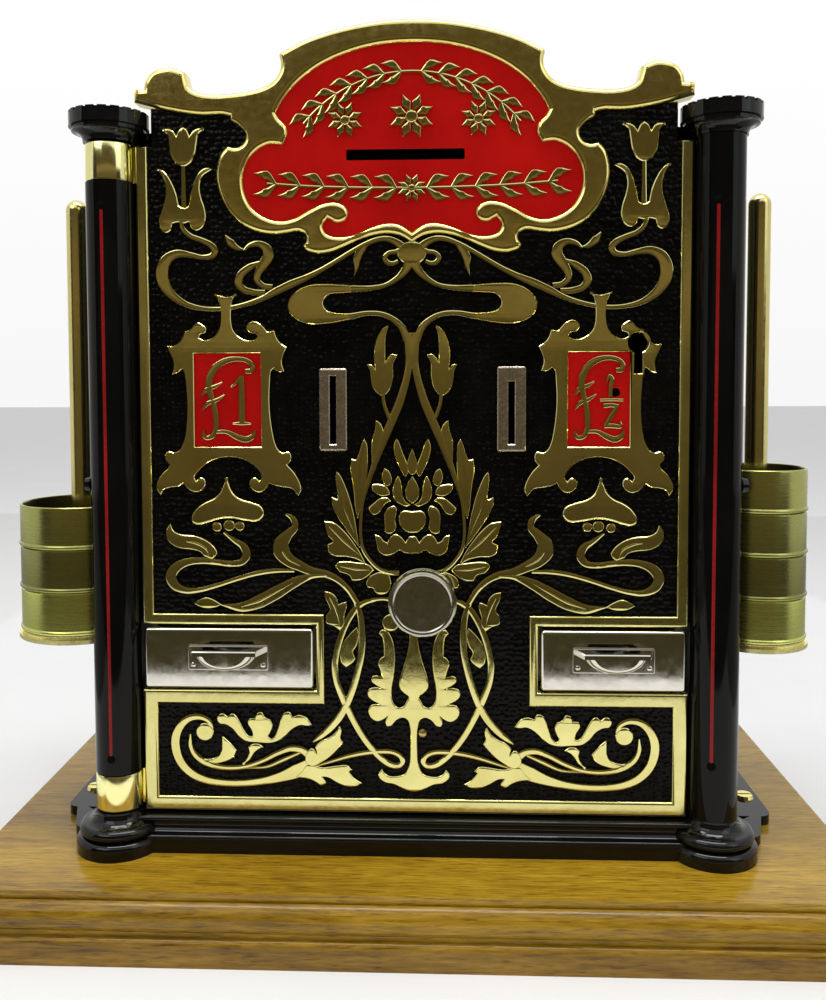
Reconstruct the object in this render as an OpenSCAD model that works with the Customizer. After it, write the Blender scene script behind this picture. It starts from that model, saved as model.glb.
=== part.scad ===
// Counter-top coin changer: a hinged brass front between two columns, two change drawers,
// stacked cups on side posts, and a moulded wooden base board.
// Machine frame used by most modules: x to the right of the door centre, y back from the door face,
// z up from the top of the board. The part's own origin is the centre of the board's underside.

/* [Board] */
// Thickness of the wooden board
board_t = 21; // [19:0.5:26]
// Board left outside the base plate at each side
board_side_margin = 24.5; // [16:0.5:40]
// Board left in front of the column feet
board_front_margin = 22.2; // [14:0.2:40]
// Board left behind the base plate
board_back_margin = 30; // [14:1:50]
// Radius of the rounded moulding on the board's edge
board_round = 5.15; // [4:0.05:6]
// Height of the small step above the rounded moulding
board_step = 2.2; // [1:0.1:4]
// How far the rounded moulding stands back from the lowest strip
board_round_in = 0.8; // [0.4:0.1:2]
// How far the board's top edge stands back from the lowest strip
board_step_in = 5.2; // [4.5:0.1:6.5]
// Radius of the lowest strip's upper edge
board_strip_round = 2; // [1:0.1:3]
// How far the foot of the half-round moulding stands behind the lowest strip
board_foot_in = 2.4; // [2:0.1:4]

/* [Door] */
// Width of the brass door
door_w = 185; // [180:1:196]
// Thickness of the door casting
door_t = 7; // [6:0.5:8]
// Depth of the ground below the raised frame
relief = 1.2; // [0.8:0.1:2]
// Width of the raised frame at the sides
frame_w = 4.5; // [3:0.5:6]
// Height of the raised frame along the bottom edge
frame_low_h = 5.1; // [3:0.1:8]
// Height of the top edge of the ground
ground_top = 247.4; // [240:0.2:250]
// Height of the crest above the ground's top edge
crest_rise = 29.9; // [24:0.1:36]
// Half the width of the crest's arch
arch_half = 43.2; // [36:0.1:50]
// Gap between door and plinth
door_gap = 0.5; // [0.3:0.1:1]
// Side gap between door and columns
side_gap = 0.45; // [0.4:0.05:0.8]

/* [Columns] */
// Radius of the columns
col_r = 8.05; // [7:0.05:9]
// Radius of the column feet
foot_r = 14.8; // [13:0.1:16]
// Height of the column feet
foot_h = 13.4; // [12.6:0.1:16]
// Radius of the capitals
cap_r = 13; // [11:0.1:14]
// Height of the capitals
cap_h = 9.6; // [8:0.1:12]
// Height at which the capitals start
cap_z = 238.6; // [232:0.2:240]
// Radius of the steel rods in the columns
pin_r = 3; // [2:0.1:4]
// Height of a hinge collar
collar_h = 12.8; // [8:0.2:18]
// Running clearance of the collars and the plunger
run_gap = 0.05; // [0.03:0.01:0.08]

/* [Case] */
// Thickness of the case panels
panel_t = 2; // [1.5:0.1:3]
// Depth of the case behind its front edge
case_d = 91.5; // [88:0.5:110]
// Height of the top of the case
case_top = 244; // [240:0.5:246]
// Height of the plinth between the feet
plinth_h = 11.4; // [9:0.1:13]
// Thickness of the base plate
plate_t = 3.4; // [2.5:0.1:5]
// Base plate's reach beyond the columns' axes
plate_reach = 27; // [24:0.5:32]
// Radius of the base screws' heads
screw_r = 3.4; // [2.5:0.1:4.5]

/* [Cups] */
// Radius of the left cups
left_cup_r = 21.5; // [18:0.1:22]
// Radius of the right cups
right_cup_r = 17.2; // [15:0.1:22]
// Height of one stacked cup
cup_h = 15; // [11:0.05:16]
// Wall of a cup
cup_wall = 1.2; // [0.8:0.1:2]
// Radius of the posts
post_r = 3.9; // [3:0.1:5.5]
// Height of the top of the posts
post_top = 224.8; // [180:0.2:235]
// Height of the underside of the left saucer
left_saucer_z = 68.3; // [50:0.1:90]
// Height of the underside of the right saucer
right_saucer_z = 66; // [50:0.1:90]
// Thickness of the saucers
saucer_h = 2.7; // [2.5:0.1:7]

/* [Drawers] */
// Width of the left drawer's front
left_drawer_w = 57.6; // [50:0.2:58]
// Width of the right drawer's front
right_drawer_w = 48.2; // [42:0.2:56]
// Height of the drawers' fronts
drawer_h = 20.6; // [18:0.2:22]
// Height of the underside of the drawers' fronts
drawer_z = 55.1; // [52:0.1:58]
// Depth of the drawers' trays
tray_d = 74.5; // [66:0.5:76]
// Wall of the trays
tray_wall = 1.2; // [0.8:0.1:1.6]
// Gap between a tray and what guides it
slide_gap = 0.3; // [0.2:0.05:0.4]

/* [Coins] */
// Diameter of the large coin
coin_large = 22.8; // [20:0.1:25]
// Diameter of the small coin
coin_small = 20.8; // [18:0.1:22]
// Width of the coin slots
slot_w = 2; // [1.8:0.1:2.6]
// Distance of the left slot from the door's centre
slot_left = 26.6; // [24:0.2:30]
// Distance of the right slot from the door's centre
slot_right = 33.1; // [30:0.2:36]
// Height of the lower end of the coin slots
slot_z = 138.3; // [134:0.1:142]

/* [Push knob] */
// Radius of the knob
knob_r = 11.2; // [9:0.1:13]
// Radius of the plunger's rod
rod_r = 3.5; // [2.5:0.1:4]
// Travel of the plunger
push_travel = 6; // [4:0.5:7]
// Height of the knob's centre
knob_z = 87; // [85:0.1:92]

/* [Hidden] */
$fn = 64;

// Colours
brass = "#c9a23c";
dull_brass = "#8f7d33";
gloss_black = "#151515";
nickel = "#c8c8c4";
steel = "#8d9196";
red = "#d0201c";
wood = "#a9772f";

// Door and columns
door_half = door_w / 2;
col_x = door_half + side_gap + col_r;
col_y = 1;
door_z = plinth_h + door_gap;
crest_top = ground_top + crest_rise;
collar_r = col_r - 0.05;
collar_gap = 0.2;
low_collar_z = foot_h + collar_gap;
high_collar_z = cap_z - collar_gap - collar_h;
cap_clear = 0.6;
back_gap = 1.5;
case_y = door_t + back_gap;

// Base plate and board
plate_half = col_x + plate_reach;
plate_cove = 8;
plate_lobe = 5.3;
plate_lobe_y = 9.5;
plate_front = 20.5;
plate_round = 4;
plinth_front = 6.2;
plinth_back = 7.4;
foot_gap = 0.2;
plate_back = case_y + case_d + 6;
board_w = 2 * (plate_half + board_side_margin);
board_front = col_y - foot_r - board_front_margin;
board_back = plate_back + board_back_margin;
board_d = board_back - board_front;
strip_h = board_t - board_step - 2 * board_round;
screw_x = plate_half - 5;
screw_ys = [36.5, plate_back - 14];

// Case
case_half = col_x - 4;
case_in = case_half - panel_t;
case_back = case_y + case_d;
bolt_z = 124.5;
bolt_r = 1.5;
bolt_deep = 3;
bolt_fit = 0.05;

// Cups
saucer_over = 1;
cup_gap = 2.2;
cup_most = max(left_cup_r, right_cup_r) + saucer_over;
cup_x = case_half + cup_gap + cup_most;
cup_y = max(25, cup_most + 2.8);
bead_out = 0.6;
bead_h = 2.4;
post_gap = 4;

// Drawers
front_t = 2.5;
front_proud = 1;
left_out = door_half - 1.1;
right_out = door_half - 1.1;
left_in = left_out - left_drawer_w;
right_in = right_out - right_drawer_w;
notch_gap = 0.8;
tray_in = 1.6;
tray_z = drawer_z + 1.9;
tray_top = drawer_z + drawer_h - 2.7;
tray_y = front_t - front_proud;
tray_back = tray_y + tray_d;
shelf_t = 1.5;
shelf_top = tray_z - slide_gap;
deck_t = 1.5;
deck_z = tray_top + 1.5;
deck_top = deck_z + deck_t;
inner_y0 = case_y + 1.5;
inner_y1 = case_back - 2;
guide_t = 1.5;
left_mid = -(left_out + left_in) / 2;
right_mid = (right_out + right_in) / 2;

// Pulls
pull_half = 13.2;
pull_nose = 10.6;
pull_reach = 7;
pull_plate = 0.8;
pull_lip = 1.6;
pull_bowl = 9.6;
pull_wall = 1;
pull_z = drawer_z + drawer_h * 0.66;

// Slots and plates round them
bezel_w = 9.6;
bezel_over = 2.6;
window_w = 40;
window_h = 3.4;
window_x = -2.1;
window_z = ground_top - 13.2;

// Cartouche on the crest
red_arch_r = 54.3;
red_top = ground_top + 21.7;
lobe_x = 43;
lobe_z = ground_top - 22.5;
lobe_r = 12.5;
border = 8.5;
enamel_t = 0.6;

// Value panels
value_w = 21;
value_right_w = 19.5;
value_h = 31;
value_z = slot_z - 0.6;
value_left_x = -62.6;
value_right_x = 61.8;

// Lock
key_x = 74.7;
key_z = 171.9;
key_r = 3.4;
key_slot = 2.6;
key_drop = 10.4;
lock_x0 = 64;
lock_x1 = case_in - 5.5;
lock_y1 = door_t + 10;
lock_half_h = 14;
bolt_h = 8;
bolt_d = 4;
bolt_y0 = door_t + 4;
bolt_x0 = 74;
bolt_x1 = lock_x1 + 0.8;
keep_t = 2.5;
keep_half_h = bolt_h / 2 + 6;
fit_gap = 0.3;

// Plunger
knob_x = 3.5;
knob_t = 4;
knob_back = -push_travel - 1;
neck_r = 4.6;
bush_r = 6.5;
bush_y1 = door_t + 9;
stop_y0 = bush_y1 + fit_gap;
stop_t = 2.5;
stop_r = 6;
bridge_y0 = stop_y0 + stop_t + push_travel + 9;
bridge_t = 2;
bridge_half = 14;
bridge_leg = 2;
rod_end = bridge_y0 + bridge_t + 4;

// Coin pusher, levers and latches
pusher_y0 = rod_end + 0.5;
pusher_half = 5;
pusher_h = 6;
pusher_bar_y = pusher_y0 + 7;
pusher_bar_t = 4;
pusher_y1 = pusher_y0 + 35;
guide_block_t = 4;
lever_y0 = tray_back - 10;
lever_t = 3;
lever_z = deck_top + 10;
lever_arm = 20;
pan_arm = 19.5;
pan_r = 8;
pan_t = 1.6;
pan_z = lever_z + 2;
lever_tip = 10;
hub_r = 4;
pivot_r = 1.5;
latch_w = 4;
latch_d = 5;
latch_y0 = lever_y0 + lever_t;
latch_low = tray_top + 1;
latch_swing = (lever_z - latch_low) * sin(lever_tip) + 1.5;
beam_h = 4;
runway_half = 3;
runway_gap = slot_w + 1.2;
runway_back = pusher_bar_y + 9;
runway_drop = 35;

// Points on an arc, from one angle to another
function arc(cx, cy, r, from, to, n = 12) =
    [for (i = [0:n]) [cx + r * cos(from + (to - from) * i / n), cy + r * sin(from + (to - from) * i / n)]];

// The machine's frame stands on the board, at the door's face
module machine() {
    translate([0, -board_d / 2 - board_front, board_t]) children();
}

// A flat outline in x and z, with a depth from y0 to y1
module upright(y0, y1) {
    translate([0, y1, 0]) rotate([90, 0, 0]) linear_extrude(y1 - y0) children();
}

// A flat outline in y and z, with a width from x0 to x1
module sideways(x0, x1) {
    translate([x0, 0, 0]) rotate([90, 0, 90]) linear_extrude(x1 - x0) children();
}

module block(a, b) {
    translate(a) cube(b - a);
}

// A rod along y
module rod_y(x, z, r, y0, y1) {
    translate([x, y1, z]) rotate([90, 0, 0]) cylinder(r = r, h = y1 - y0);
}

// Board: two moulded lengths crossed, so that the corners are mitred
module board_edge(width) {
    half = width / 2;
    quirk = 0.8;
    centre_z = strip_h + board_round;
    step_x = half - board_step_in;
    corner = board_strip_round;
    difference() {
        union() {
            translate([-half, 0]) square([width, strip_h - corner]);
            translate([-half + corner, 0]) square([width - 2 * corner, strip_h]);
            translate([-step_x, 0]) square([2 * step_x, board_t]);
            translate([-half + board_foot_in, 0]) square([width - 2 * board_foot_in, centre_z]);
            for (side = [-1, 1]) {
                translate([side * (half - board_round_in - board_round), centre_z]) circle(r = board_round);
                translate([side * (half - corner), strip_h - corner]) circle(r = corner);
            }
        }
        for (side = [-1, 1]) translate([side * (step_x + quirk / 2), board_t - board_step])
            square([quirk, 2 * quirk], center = true);
    }
}

module base_board() {
    color(wood) difference() {
        intersection() {
            translate([0, board_d / 2, 0]) rotate([90, 0, 0]) linear_extrude(board_d) board_edge(board_w);
            translate([-board_w / 2, 0, 0]) rotate([90, 0, 90]) linear_extrude(board_w) board_edge(board_d);
        }
        machine() for (x = [-screw_x, screw_x], y = screw_ys)
            translate([x, y, -8]) cylinder(r = screw_r * 0.45, h = 9);
    }
}

// Base plate: the case's flange, with a lobe and a cove at each front corner
module plate_outline() {
    lobe_at = plate_half - plate_cove - plate_lobe;
    neck = 1.5;
    difference() {
        union() {
            hull() for (side = [-1, 1]) {
                translate([side * (plate_half - plate_round), plate_front + plate_round])
                    circle(r = plate_round);
                translate([side * plate_half - 0.5 * (side + 1), plate_back - 1]) square(1);
            }
            translate([-lobe_at, plinth_back + foot_gap]) square([2 * lobe_at, plate_front - plinth_back]);
            for (side = [-1, 1]) hull() {
                translate([side * lobe_at, plate_lobe_y]) circle(r = plate_lobe);
                translate([side * (plate_half - plate_round - neck), plate_front]) circle(r = neck);
            }
        }
        for (side = [-1, 1]) {
            translate([side * col_x, col_y]) circle(r = foot_r + foot_gap);
            for (y = screw_ys) translate([side * screw_x, y]) circle(r = screw_r * 0.5);
        }
        translate([-col_x, -plate_lobe]) square([2 * col_x, plate_lobe + plinth_back + foot_gap]);
    }
}

module base_plate() {
    color(gloss_black) machine() linear_extrude(plate_t) plate_outline();
}

// Round-headed slotted screws through the plate into the board
module base_screws() {
    head_h = 1.1;
    color(brass) machine() for (x = [-screw_x, screw_x], y = screw_ys) translate([x, y, 0]) difference() {
        union() {
            translate([0, 0, -7]) cylinder(r = screw_r * 0.42, h = 7 + plate_t);
            translate([0, 0, plate_t]) cylinder(r1 = screw_r, r2 = screw_r * 0.86, h = head_h);
        }
        translate([-screw_r, -0.5, plate_t + 0.5]) cube([2 * screw_r, 1, head_h]);
    }
}

// Plinth: a moulded bar between two turned feet
module foot_outline() {
    disc_h = 5.4;
    edge = 2.2;
    tier_h = 9.4;
    tier_r = foot_r - 1.1;
    bulge = (tier_h - disc_h) / 2;
    square([foot_r - edge, disc_h]);
    square([foot_r, disc_h - edge]);
    translate([foot_r - edge, disc_h - edge]) circle(r = edge);
    translate([0, disc_h]) square([tier_r - bulge, tier_h - disc_h]);
    translate([tier_r - bulge, disc_h + bulge]) circle(r = bulge);
    sweep = foot_h - tier_h;
    waist = col_r + 0.05;
    polygon(concat([[0, tier_h]], [[0, foot_h]], arc(waist + sweep, foot_h, sweep, 180, 270), [[0, tier_h]]));
}

module plinth_outline() {
    fascia = 6;
    round = 1;
    cove = 2.6;
    face = -plinth_front + round + cove;
    translate([-plinth_front + round, 0]) square([plinth_front - round + plinth_back, fascia]);
    translate([-plinth_front, 0]) square([plinth_front, fascia - round]);
    translate([-plinth_front + round, fascia - round]) circle(r = round);
    translate([face, fascia]) square([plinth_back - face, plinth_h - fascia]);
    difference() {
        translate([face - cove, fascia]) square(cove);
        translate([face - cove, fascia + cove]) circle(r = cove);
    }
    translate([face, plinth_h - round]) circle(r = round);
}

module plinth() {
    color(gloss_black) machine() difference() {
        union() {
            sideways(-col_x, col_x) plinth_outline();
            for (side = [-1, 1]) translate([side * col_x, col_y, 0])
                rotate_extrude() intersection() {
                    foot_outline();
                    square([foot_r, foot_h]);
                }
        }
        for (side = [-1, 1]) translate([side * col_x, col_y, 2]) cylinder(r = pin_r, h = foot_h);
    }
}

// Columns: tubes on the steel rods
module column(side, z0, z1) {
    color(gloss_black) machine() translate([side * col_x, col_y, z0]) difference() {
        cylinder(r = col_r, h = z1 - z0);
        translate([0, 0, -1]) cylinder(r = pin_r, h = z1 - z0 + 2);
        translate([0, 0, bolt_z - z0]) rotate([0, side * 90, 0])
            translate([0, 0, col_r - bolt_deep - bolt_fit])
                cylinder(r = bolt_r + bolt_fit, h = bolt_deep + 1);
    }
}

module left_column() {
    column(-1, low_collar_z + collar_h + collar_gap, high_collar_z - collar_gap);
}

module right_column() {
    column(1, foot_h, cap_z);
}

// Capital: an ogee under a rim with small notches round its top edge
module capital(side) {
    ogee = cap_h * 0.36;
    rim = cap_h * 0.5;
    notches = 20;
    throat = col_r + 0.5;
    shoulder = throat + ogee;
    color(gloss_black) machine() translate([side * col_x, col_y, cap_z]) difference() {
        rotate_extrude() union() {
            polygon(concat([[0, 0]], arc(shoulder, 0, ogee, 180, 90), [[0, ogee]]));
            translate([0, ogee - 0.01]) square([cap_r - 0.9, cap_h - rim - ogee + 0.02]);
            translate([0, cap_h - rim]) square([cap_r, rim]);
        }
        translate([0, 0, -1]) cylinder(r = pin_r, h = cap_h - 1);
        for (i = [0:notches - 1]) rotate([0, 0, i * 360 / notches])
            translate([cap_r - 1.2, -0.6, cap_h - 0.9]) cube([3, 1.2, 2]);
    }
}

module left_capital() {
    capital(-1);
}

module right_capital() {
    capital(1);
}

module column_rod(side) {
    color(steel) machine() translate([side * col_x, col_y, 2]) cylinder(r = pin_r, h = cap_z + cap_h - 2 - 2);
}

module hinge_pin() {
    column_rod(-1);
}

module tie_rod() {
    column_rod(1);
}

// Case panels, cut back from the feet and capitals
module capital_room(side) {
    translate([side * col_x, col_y, cap_z - foot_gap])
        cylinder(r = cap_r + foot_gap, h = cap_h + 2 * foot_gap);
}

module side_panel(side) {
    color(gloss_black) machine() difference() {
        block([min(side * case_in, side * case_half), case_y, plate_t],
              [max(side * case_in, side * case_half), case_back - panel_t, case_top - panel_t]);
        translate([side * col_x, col_y, 0]) cylinder(r = foot_r + foot_gap, h = foot_h + foot_gap);
        capital_room(side);
    }
}

module left_side() {
    side_panel(-1);
}

module right_side() {
    side_panel(1);
}

panel_screw_places = [for (x = [-1, 1], part = [0.08, 0.48, 0.88]) [x * (case_in - 6), part * case_top]];

module back_panel() {
    color(gloss_black) machine() difference() {
        block([-case_half, case_back - panel_t, plate_t], [case_half, case_back, case_top - panel_t]);
        for (p = panel_screw_places) rod_y(p[0], p[1], 1.5, case_back - panel_t - 1, case_back + 1);
    }
}

module top_panel() {
    color(gloss_black) machine() difference() {
        block([-case_half, case_y, case_top - panel_t], [case_half, case_back, case_top]);
        for (side = [-1, 1]) capital_room(side);
    }
}

module panel_screws() {
    color(steel) machine() for (p = panel_screw_places) difference() {
        union() {
            rod_y(p[0], p[1], 1.4, case_back - panel_t, case_back);
            rod_y(p[0], p[1], 3, case_back, case_back + 1.4);
        }
        block([p[0] - 3.5, case_back + 0.8, p[1] - 0.4], [p[0] + 3.5, case_back + 2, p[1] + 0.4]);
    }
}

// Black bolts in the outer sides of the columns
module side_bolts() {
    head = 2.8;
    head_h = 2;
    color(gloss_black) machine() for (side = [-1, 1]) translate([side * col_x, col_y, bolt_z])
        rotate([0, side * 90, 0]) {
            translate([0, 0, col_r - bolt_deep]) cylinder(r = bolt_r, h = bolt_deep);
            translate([0, 0, col_r]) cylinder(r1 = head, r2 = head * 0.8, h = head_h);
        }
}

// Side cups: a saucer on the case, a post on the saucer, and cups that lift off the post
function cup_r(side) = side < 0 ? left_cup_r : right_cup_r;

function saucer_z(side) = side < 0 ? left_saucer_z : right_saucer_z;

module saucer(side) {
    groove = 0.8;
    lip = 1.4;
    r = cup_r(side);
    arm = cup_x - r + 4;
    color(brass) machine() union() {
        translate([side * cup_x, cup_y, saucer_z(side)]) rotate_extrude() difference() {
            union() {
                square([r + saucer_over, lip]);
                square([r - groove, saucer_h]);
                translate([0, lip + groove]) square([r, saucer_h - lip - groove]);
            }
            square([post_r, saucer_h]);
        }
        block([min(side * case_half, side * arm), cup_y - 5, saucer_z(side)],
              [max(side * case_half, side * arm), cup_y + 5, saucer_z(side) + lip]);
    }
}

module left_saucer() {
    saucer(-1);
}

module right_saucer() {
    saucer(1);
}

module post(side) {
    low = saucer_z(side);
    color(brass) machine() translate([side * cup_x, cup_y, 0]) rotate_extrude() intersection() {
        union() {
            translate([0, low]) square([post_r, post_top - post_r - low]);
            translate([0, post_top - post_r]) circle(r = post_r);
        }
        translate([0, low]) square([post_r, post_top - low]);
    }
}

module left_post() {
    post(-1);
}

module right_post() {
    post(1);
}

// One cup of the stack, counted from the bottom
module cup(side, level) {
    floor_t = 1.2;
    r = cup_r(side);
    low = saucer_z(side) + saucer_h + level * cup_h;
    color(dull_brass) machine() translate([side * cup_x, cup_y, low]) rotate_extrude() {
        translate([r - cup_wall, 0]) square([cup_wall, cup_h]);
        translate([post_r + post_gap, 0]) square([r - post_r - post_gap, floor_t]);
        translate([r - cup_wall, 0]) square([bead_out + cup_wall, bead_h]);
    }
}

module left_cup_low() {
    cup(-1, 0);
}

module left_cup_mid() {
    cup(-1, 1);
}

module left_cup_top() {
    cup(-1, 2);
}

module right_cup_low() {
    cup(1, 0);
}

module right_cup_mid() {
    cup(1, 1);
}

module right_cup_high() {
    cup(1, 2);
}

module right_cup_top() {
    cup(1, 3);
}

// Shelf under the trays, guides beside them and the deck above
chute_x0 = -left_in + 4;
chute_x1 = right_in - 4;
chute_y0 = lever_y0 + 16;

module drawer_shelf() {
    flange = 8;
    color(steel) machine() difference() {
        union() {
            block([-case_in, inner_y0, shelf_top - shelf_t], [case_in, inner_y1, shelf_top]);
            for (x = [-case_in, case_in - shelf_t])
                block([x, inner_y0, shelf_top - flange], [x + shelf_t, inner_y1, shelf_top]);
        }
        block([chute_x0, chute_y0, shelf_top - 2 * shelf_t], [chute_x1, inner_y1 - 2, shelf_top + 1]);
    }
}

module drawer_guides() {
    low_left = -left_in - tray_in + slide_gap;
    low_right = right_in + tray_in - slide_gap;
    color(steel) machine() {
        block([-case_in, inner_y0, shelf_top], [-left_out + tray_in - slide_gap, inner_y1, deck_z]);
        block([low_left, inner_y0, shelf_top], [low_left + guide_t, inner_y1, deck_z]);
        block([low_right - guide_t, inner_y0, shelf_top], [low_right, inner_y1, deck_z]);
        block([right_out - tray_in + slide_gap, inner_y0, shelf_top], [case_in, inner_y1, deck_z]);
    }
}

left_pan_x = -slot_left;
right_pan_x = slot_right;
left_pivot_x = left_pan_x - pan_arm;
right_pivot_x = right_pan_x + pan_arm;
left_latch_x = left_pivot_x - lever_arm;
right_latch_x = right_pivot_x + lever_arm;

module mechanism_deck() {
    color(steel) machine() difference() {
        block([-case_in, inner_y0, deck_z], [case_in, inner_y1, deck_top]);
        block([chute_x0, chute_y0, deck_z - 1], [chute_x1, inner_y1 - 2, deck_top + 1]);
        for (x = [left_latch_x, right_latch_x])
            block([x - latch_w / 2 - latch_swing, latch_y0 - 1, deck_z - 1],
                  [x + latch_w / 2 + latch_swing, latch_y0 + latch_d + 1, deck_top + 1]);
    }
}

// Sloping coin runways, from behind the slots to the levers' pans
module runway(x, coin) {
    y0 = door_t + 1;
    low = slot_z - 3;
    high = slot_z + coin + 3;
    leg = 8;
    legs = [y0 + 6, y0 + 24];
    slope = runway_drop / (runway_back - y0);
    color(dull_brass) machine() difference() {
        union() {
            sideways(x - runway_half, x + runway_half)
                polygon([[y0, low], [y0, high], [runway_back, high - runway_drop],
                         [runway_back, low - runway_drop]]);
            for (y = legs) sideways(x - runway_half, x + runway_half)
                polygon([[y, deck_top], [y, low - (y - y0) * slope + 1],
                         [y + leg, low - (y + leg - y0) * slope + 1], [y + leg, deck_top]]);
        }
        sideways(x - runway_gap / 2, x + runway_gap / 2)
            polygon([[y0 - 1, low + 2.2], [y0 - 1, high - 1.2], [runway_back + 1, high - runway_drop - 1.2],
                     [runway_back + 1, low - runway_drop + 2.2]]);
    }
}

module left_runway() {
    runway(-slot_left, coin_large);
}

module right_runway() {
    runway(slot_right, coin_small);
}

// Stands with the pivot pins of the coin levers
module lever_stands() {
    cheek = 3;
    room = 0.6;
    half = hub_r + 2;
    sole = deck_top + 3;
    top = lever_z + hub_r + 1;
    color(steel) machine() for (x = [left_pivot_x, right_pivot_x]) {
        difference() {
            block([x - half, lever_y0 - room - cheek, deck_top],
                  [x + half, lever_y0 + lever_t + room + cheek, top]);
            block([x - half - 1, lever_y0 - room, sole], [x + half + 1, lever_y0 + lever_t + room, top + 1]);
        }
        rod_y(x, lever_z, pivot_r, lever_y0 - room, lever_y0 + lever_t + room);
    }
}

pusher_z0 = knob_z - pusher_h / 2;

module pusher_guides() {
    wall = 3;
    color(steel) machine() for (y = [pusher_y0 + 2, pusher_y1 - 9]) difference() {
        block([knob_x - pusher_half - wall, y, deck_top],
              [knob_x + pusher_half + wall, y + guide_block_t, knob_z + pusher_h / 2 + wall]);
        block([knob_x - pusher_half - fit_gap, y - 1, pusher_z0 - fit_gap],
              [knob_x + pusher_half + fit_gap, y + guide_block_t + 1, knob_z + pusher_h / 2 + fit_gap]);
    }
}

// Box for the coins taken in
module gold_box() {
    wall = 1.2;
    y0 = chute_y0 - 24;
    y1 = inner_y1 - 1;
    top = shelf_top - shelf_t - 6;
    color(dull_brass) machine() difference() {
        block([chute_x0 - 2, y0, plate_t], [chute_x1 + 2, y1, top]);
        block([chute_x0 - 2 + wall, y0 + wall, plate_t + wall], [chute_x1 + 2 - wall, y1 - wall, top + 1]);
    }
}

lock_mid_z = key_z - 3;

module lock_keep() {
    color(steel) machine() difference() {
        block([case_in - keep_t, case_y, lock_mid_z - keep_half_h],
              [case_in, bolt_y0 + bolt_d + 4, lock_mid_z + keep_half_h]);
        block([case_in - keep_t - 1, bolt_y0 - fit_gap, lock_mid_z - bolt_h / 2 - fit_gap],
              [case_in + 1, bolt_y0 + bolt_d + 5, lock_mid_z + bolt_h / 2 + fit_gap]);
    }
}

// Door: outline with the crest, notches for the drawers and hinge collars
ear_x = 80.3;
ear_z = ground_top + 8;
ear_r = 8.1;
sweep_low = ground_top + 6.2;
step_z0 = ground_top + 4.7;
step_z1 = ground_top + 9;
arch_side_z = crest_top - 10.7;
arch_r = (arch_half * arch_half + 10.7 * 10.7) / (2 * 10.7);
arch_span = asin(arch_half / arch_r);

module crest_outline() {
    cove = arch_side_z - 2 - sweep_low;
    polygon(concat(
        [[-door_half, ground_top - 2], [-door_half, step_z1], [-ear_x - ear_r, step_z1]],
        [[-ear_x, step_z1], [-ear_x, sweep_low]],
        arc(-arch_half - cove + 1, sweep_low + cove, cove, -90, 0),
        arc(0, crest_top - arch_r, arch_r, 90 + arch_span, 90 - arch_span, 32),
        arc(arch_half + cove - 1, sweep_low + cove, cove, 180, 270),
        [[ear_x, sweep_low], [ear_x, step_z1]],
        [[ear_x + ear_r, step_z1], [door_half, step_z1], [door_half, ground_top - 2]]));
    for (side = [-1, 1]) translate([side * ear_x, ear_z]) circle(r = ear_r);
}

module door_outline() {
    difference() {
        union() {
            translate([-door_half, door_z]) square([door_w, ground_top - door_z]);
            crest_outline();
        }
        translate([-door_half - 1, drawer_z - notch_gap])
            square([door_half + 1 - left_in + notch_gap, drawer_h + 2 * notch_gap]);
        translate([right_in - notch_gap, drawer_z - notch_gap])
            square([door_half + 1 - right_in + notch_gap, drawer_h + 2 * notch_gap]);
    }
}

// Cartouche: an arch over two round lobes, grown outwards for its brass border
module cartouche(grow) {
    intersection() {
        translate([0, red_top - red_arch_r]) circle(r = red_arch_r + grow);
        translate([-lobe_x - 1 - grow, lobe_z + lobe_r]) square([2 * (lobe_x + 1 + grow), crest_rise + 20]);
    }
    translate([-lobe_x, lobe_z - lobe_r - grow]) square([2 * lobe_x, 2 * lobe_r + grow + 0.5]);
    for (side = [-1, 1]) translate([side * lobe_x, lobe_z]) circle(r = lobe_r + grow);
}

drawer_frame = 3.6;
drawer_frame_low = 5.2;

module ground_outline() {
    inner = door_half - frame_w;
    left_edge = -left_in + notch_gap + drawer_frame - 0.6;
    right_edge = right_in - notch_gap - drawer_frame + 0.6;
    over = drawer_z + drawer_h + notch_gap + drawer_frame;
    under = drawer_z - notch_gap - drawer_frame_low;
    low = door_z + frame_low_h;
    difference() {
        polygon([[-inner, ground_top], [-inner, over], [left_edge, over], [left_edge, under], [-inner, under],
                 [-inner, low], [inner, low], [inner, under], [right_edge, under], [right_edge, over],
                 [inner, over], [inner, ground_top]]);
        cartouche(border);
    }
}

module slot_outline(x, coin) {
    translate([x - slot_w / 2, slot_z]) square([slot_w, coin]);
}

module key_outline() {
    translate([key_x, key_z]) circle(r = key_r);
    translate([key_x - key_slot / 2, key_z - key_drop]) square([key_slot, key_drop]);
}

module window_outline() {
    translate([window_x - window_w / 2, window_z - window_h / 2]) square([window_w, window_h]);
}

module bezel_outline(x, coin) {
    translate([x - bezel_w / 2, slot_z - bezel_over]) square([bezel_w, coin + 2 * bezel_over]);
}

module value_outline() {
    translate([value_left_x - value_w / 2, value_z]) square([value_w, value_h]);
    translate([value_right_x - value_right_w / 2, value_z]) square([value_right_w, value_h]);
}

module hinge_collar(z) {
    translate([-col_x, col_y, z]) cylinder(r = collar_r, h = collar_h);
    block([-col_x, col_y, z], [-door_half + 2, door_t, z + collar_h]);
}

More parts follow.
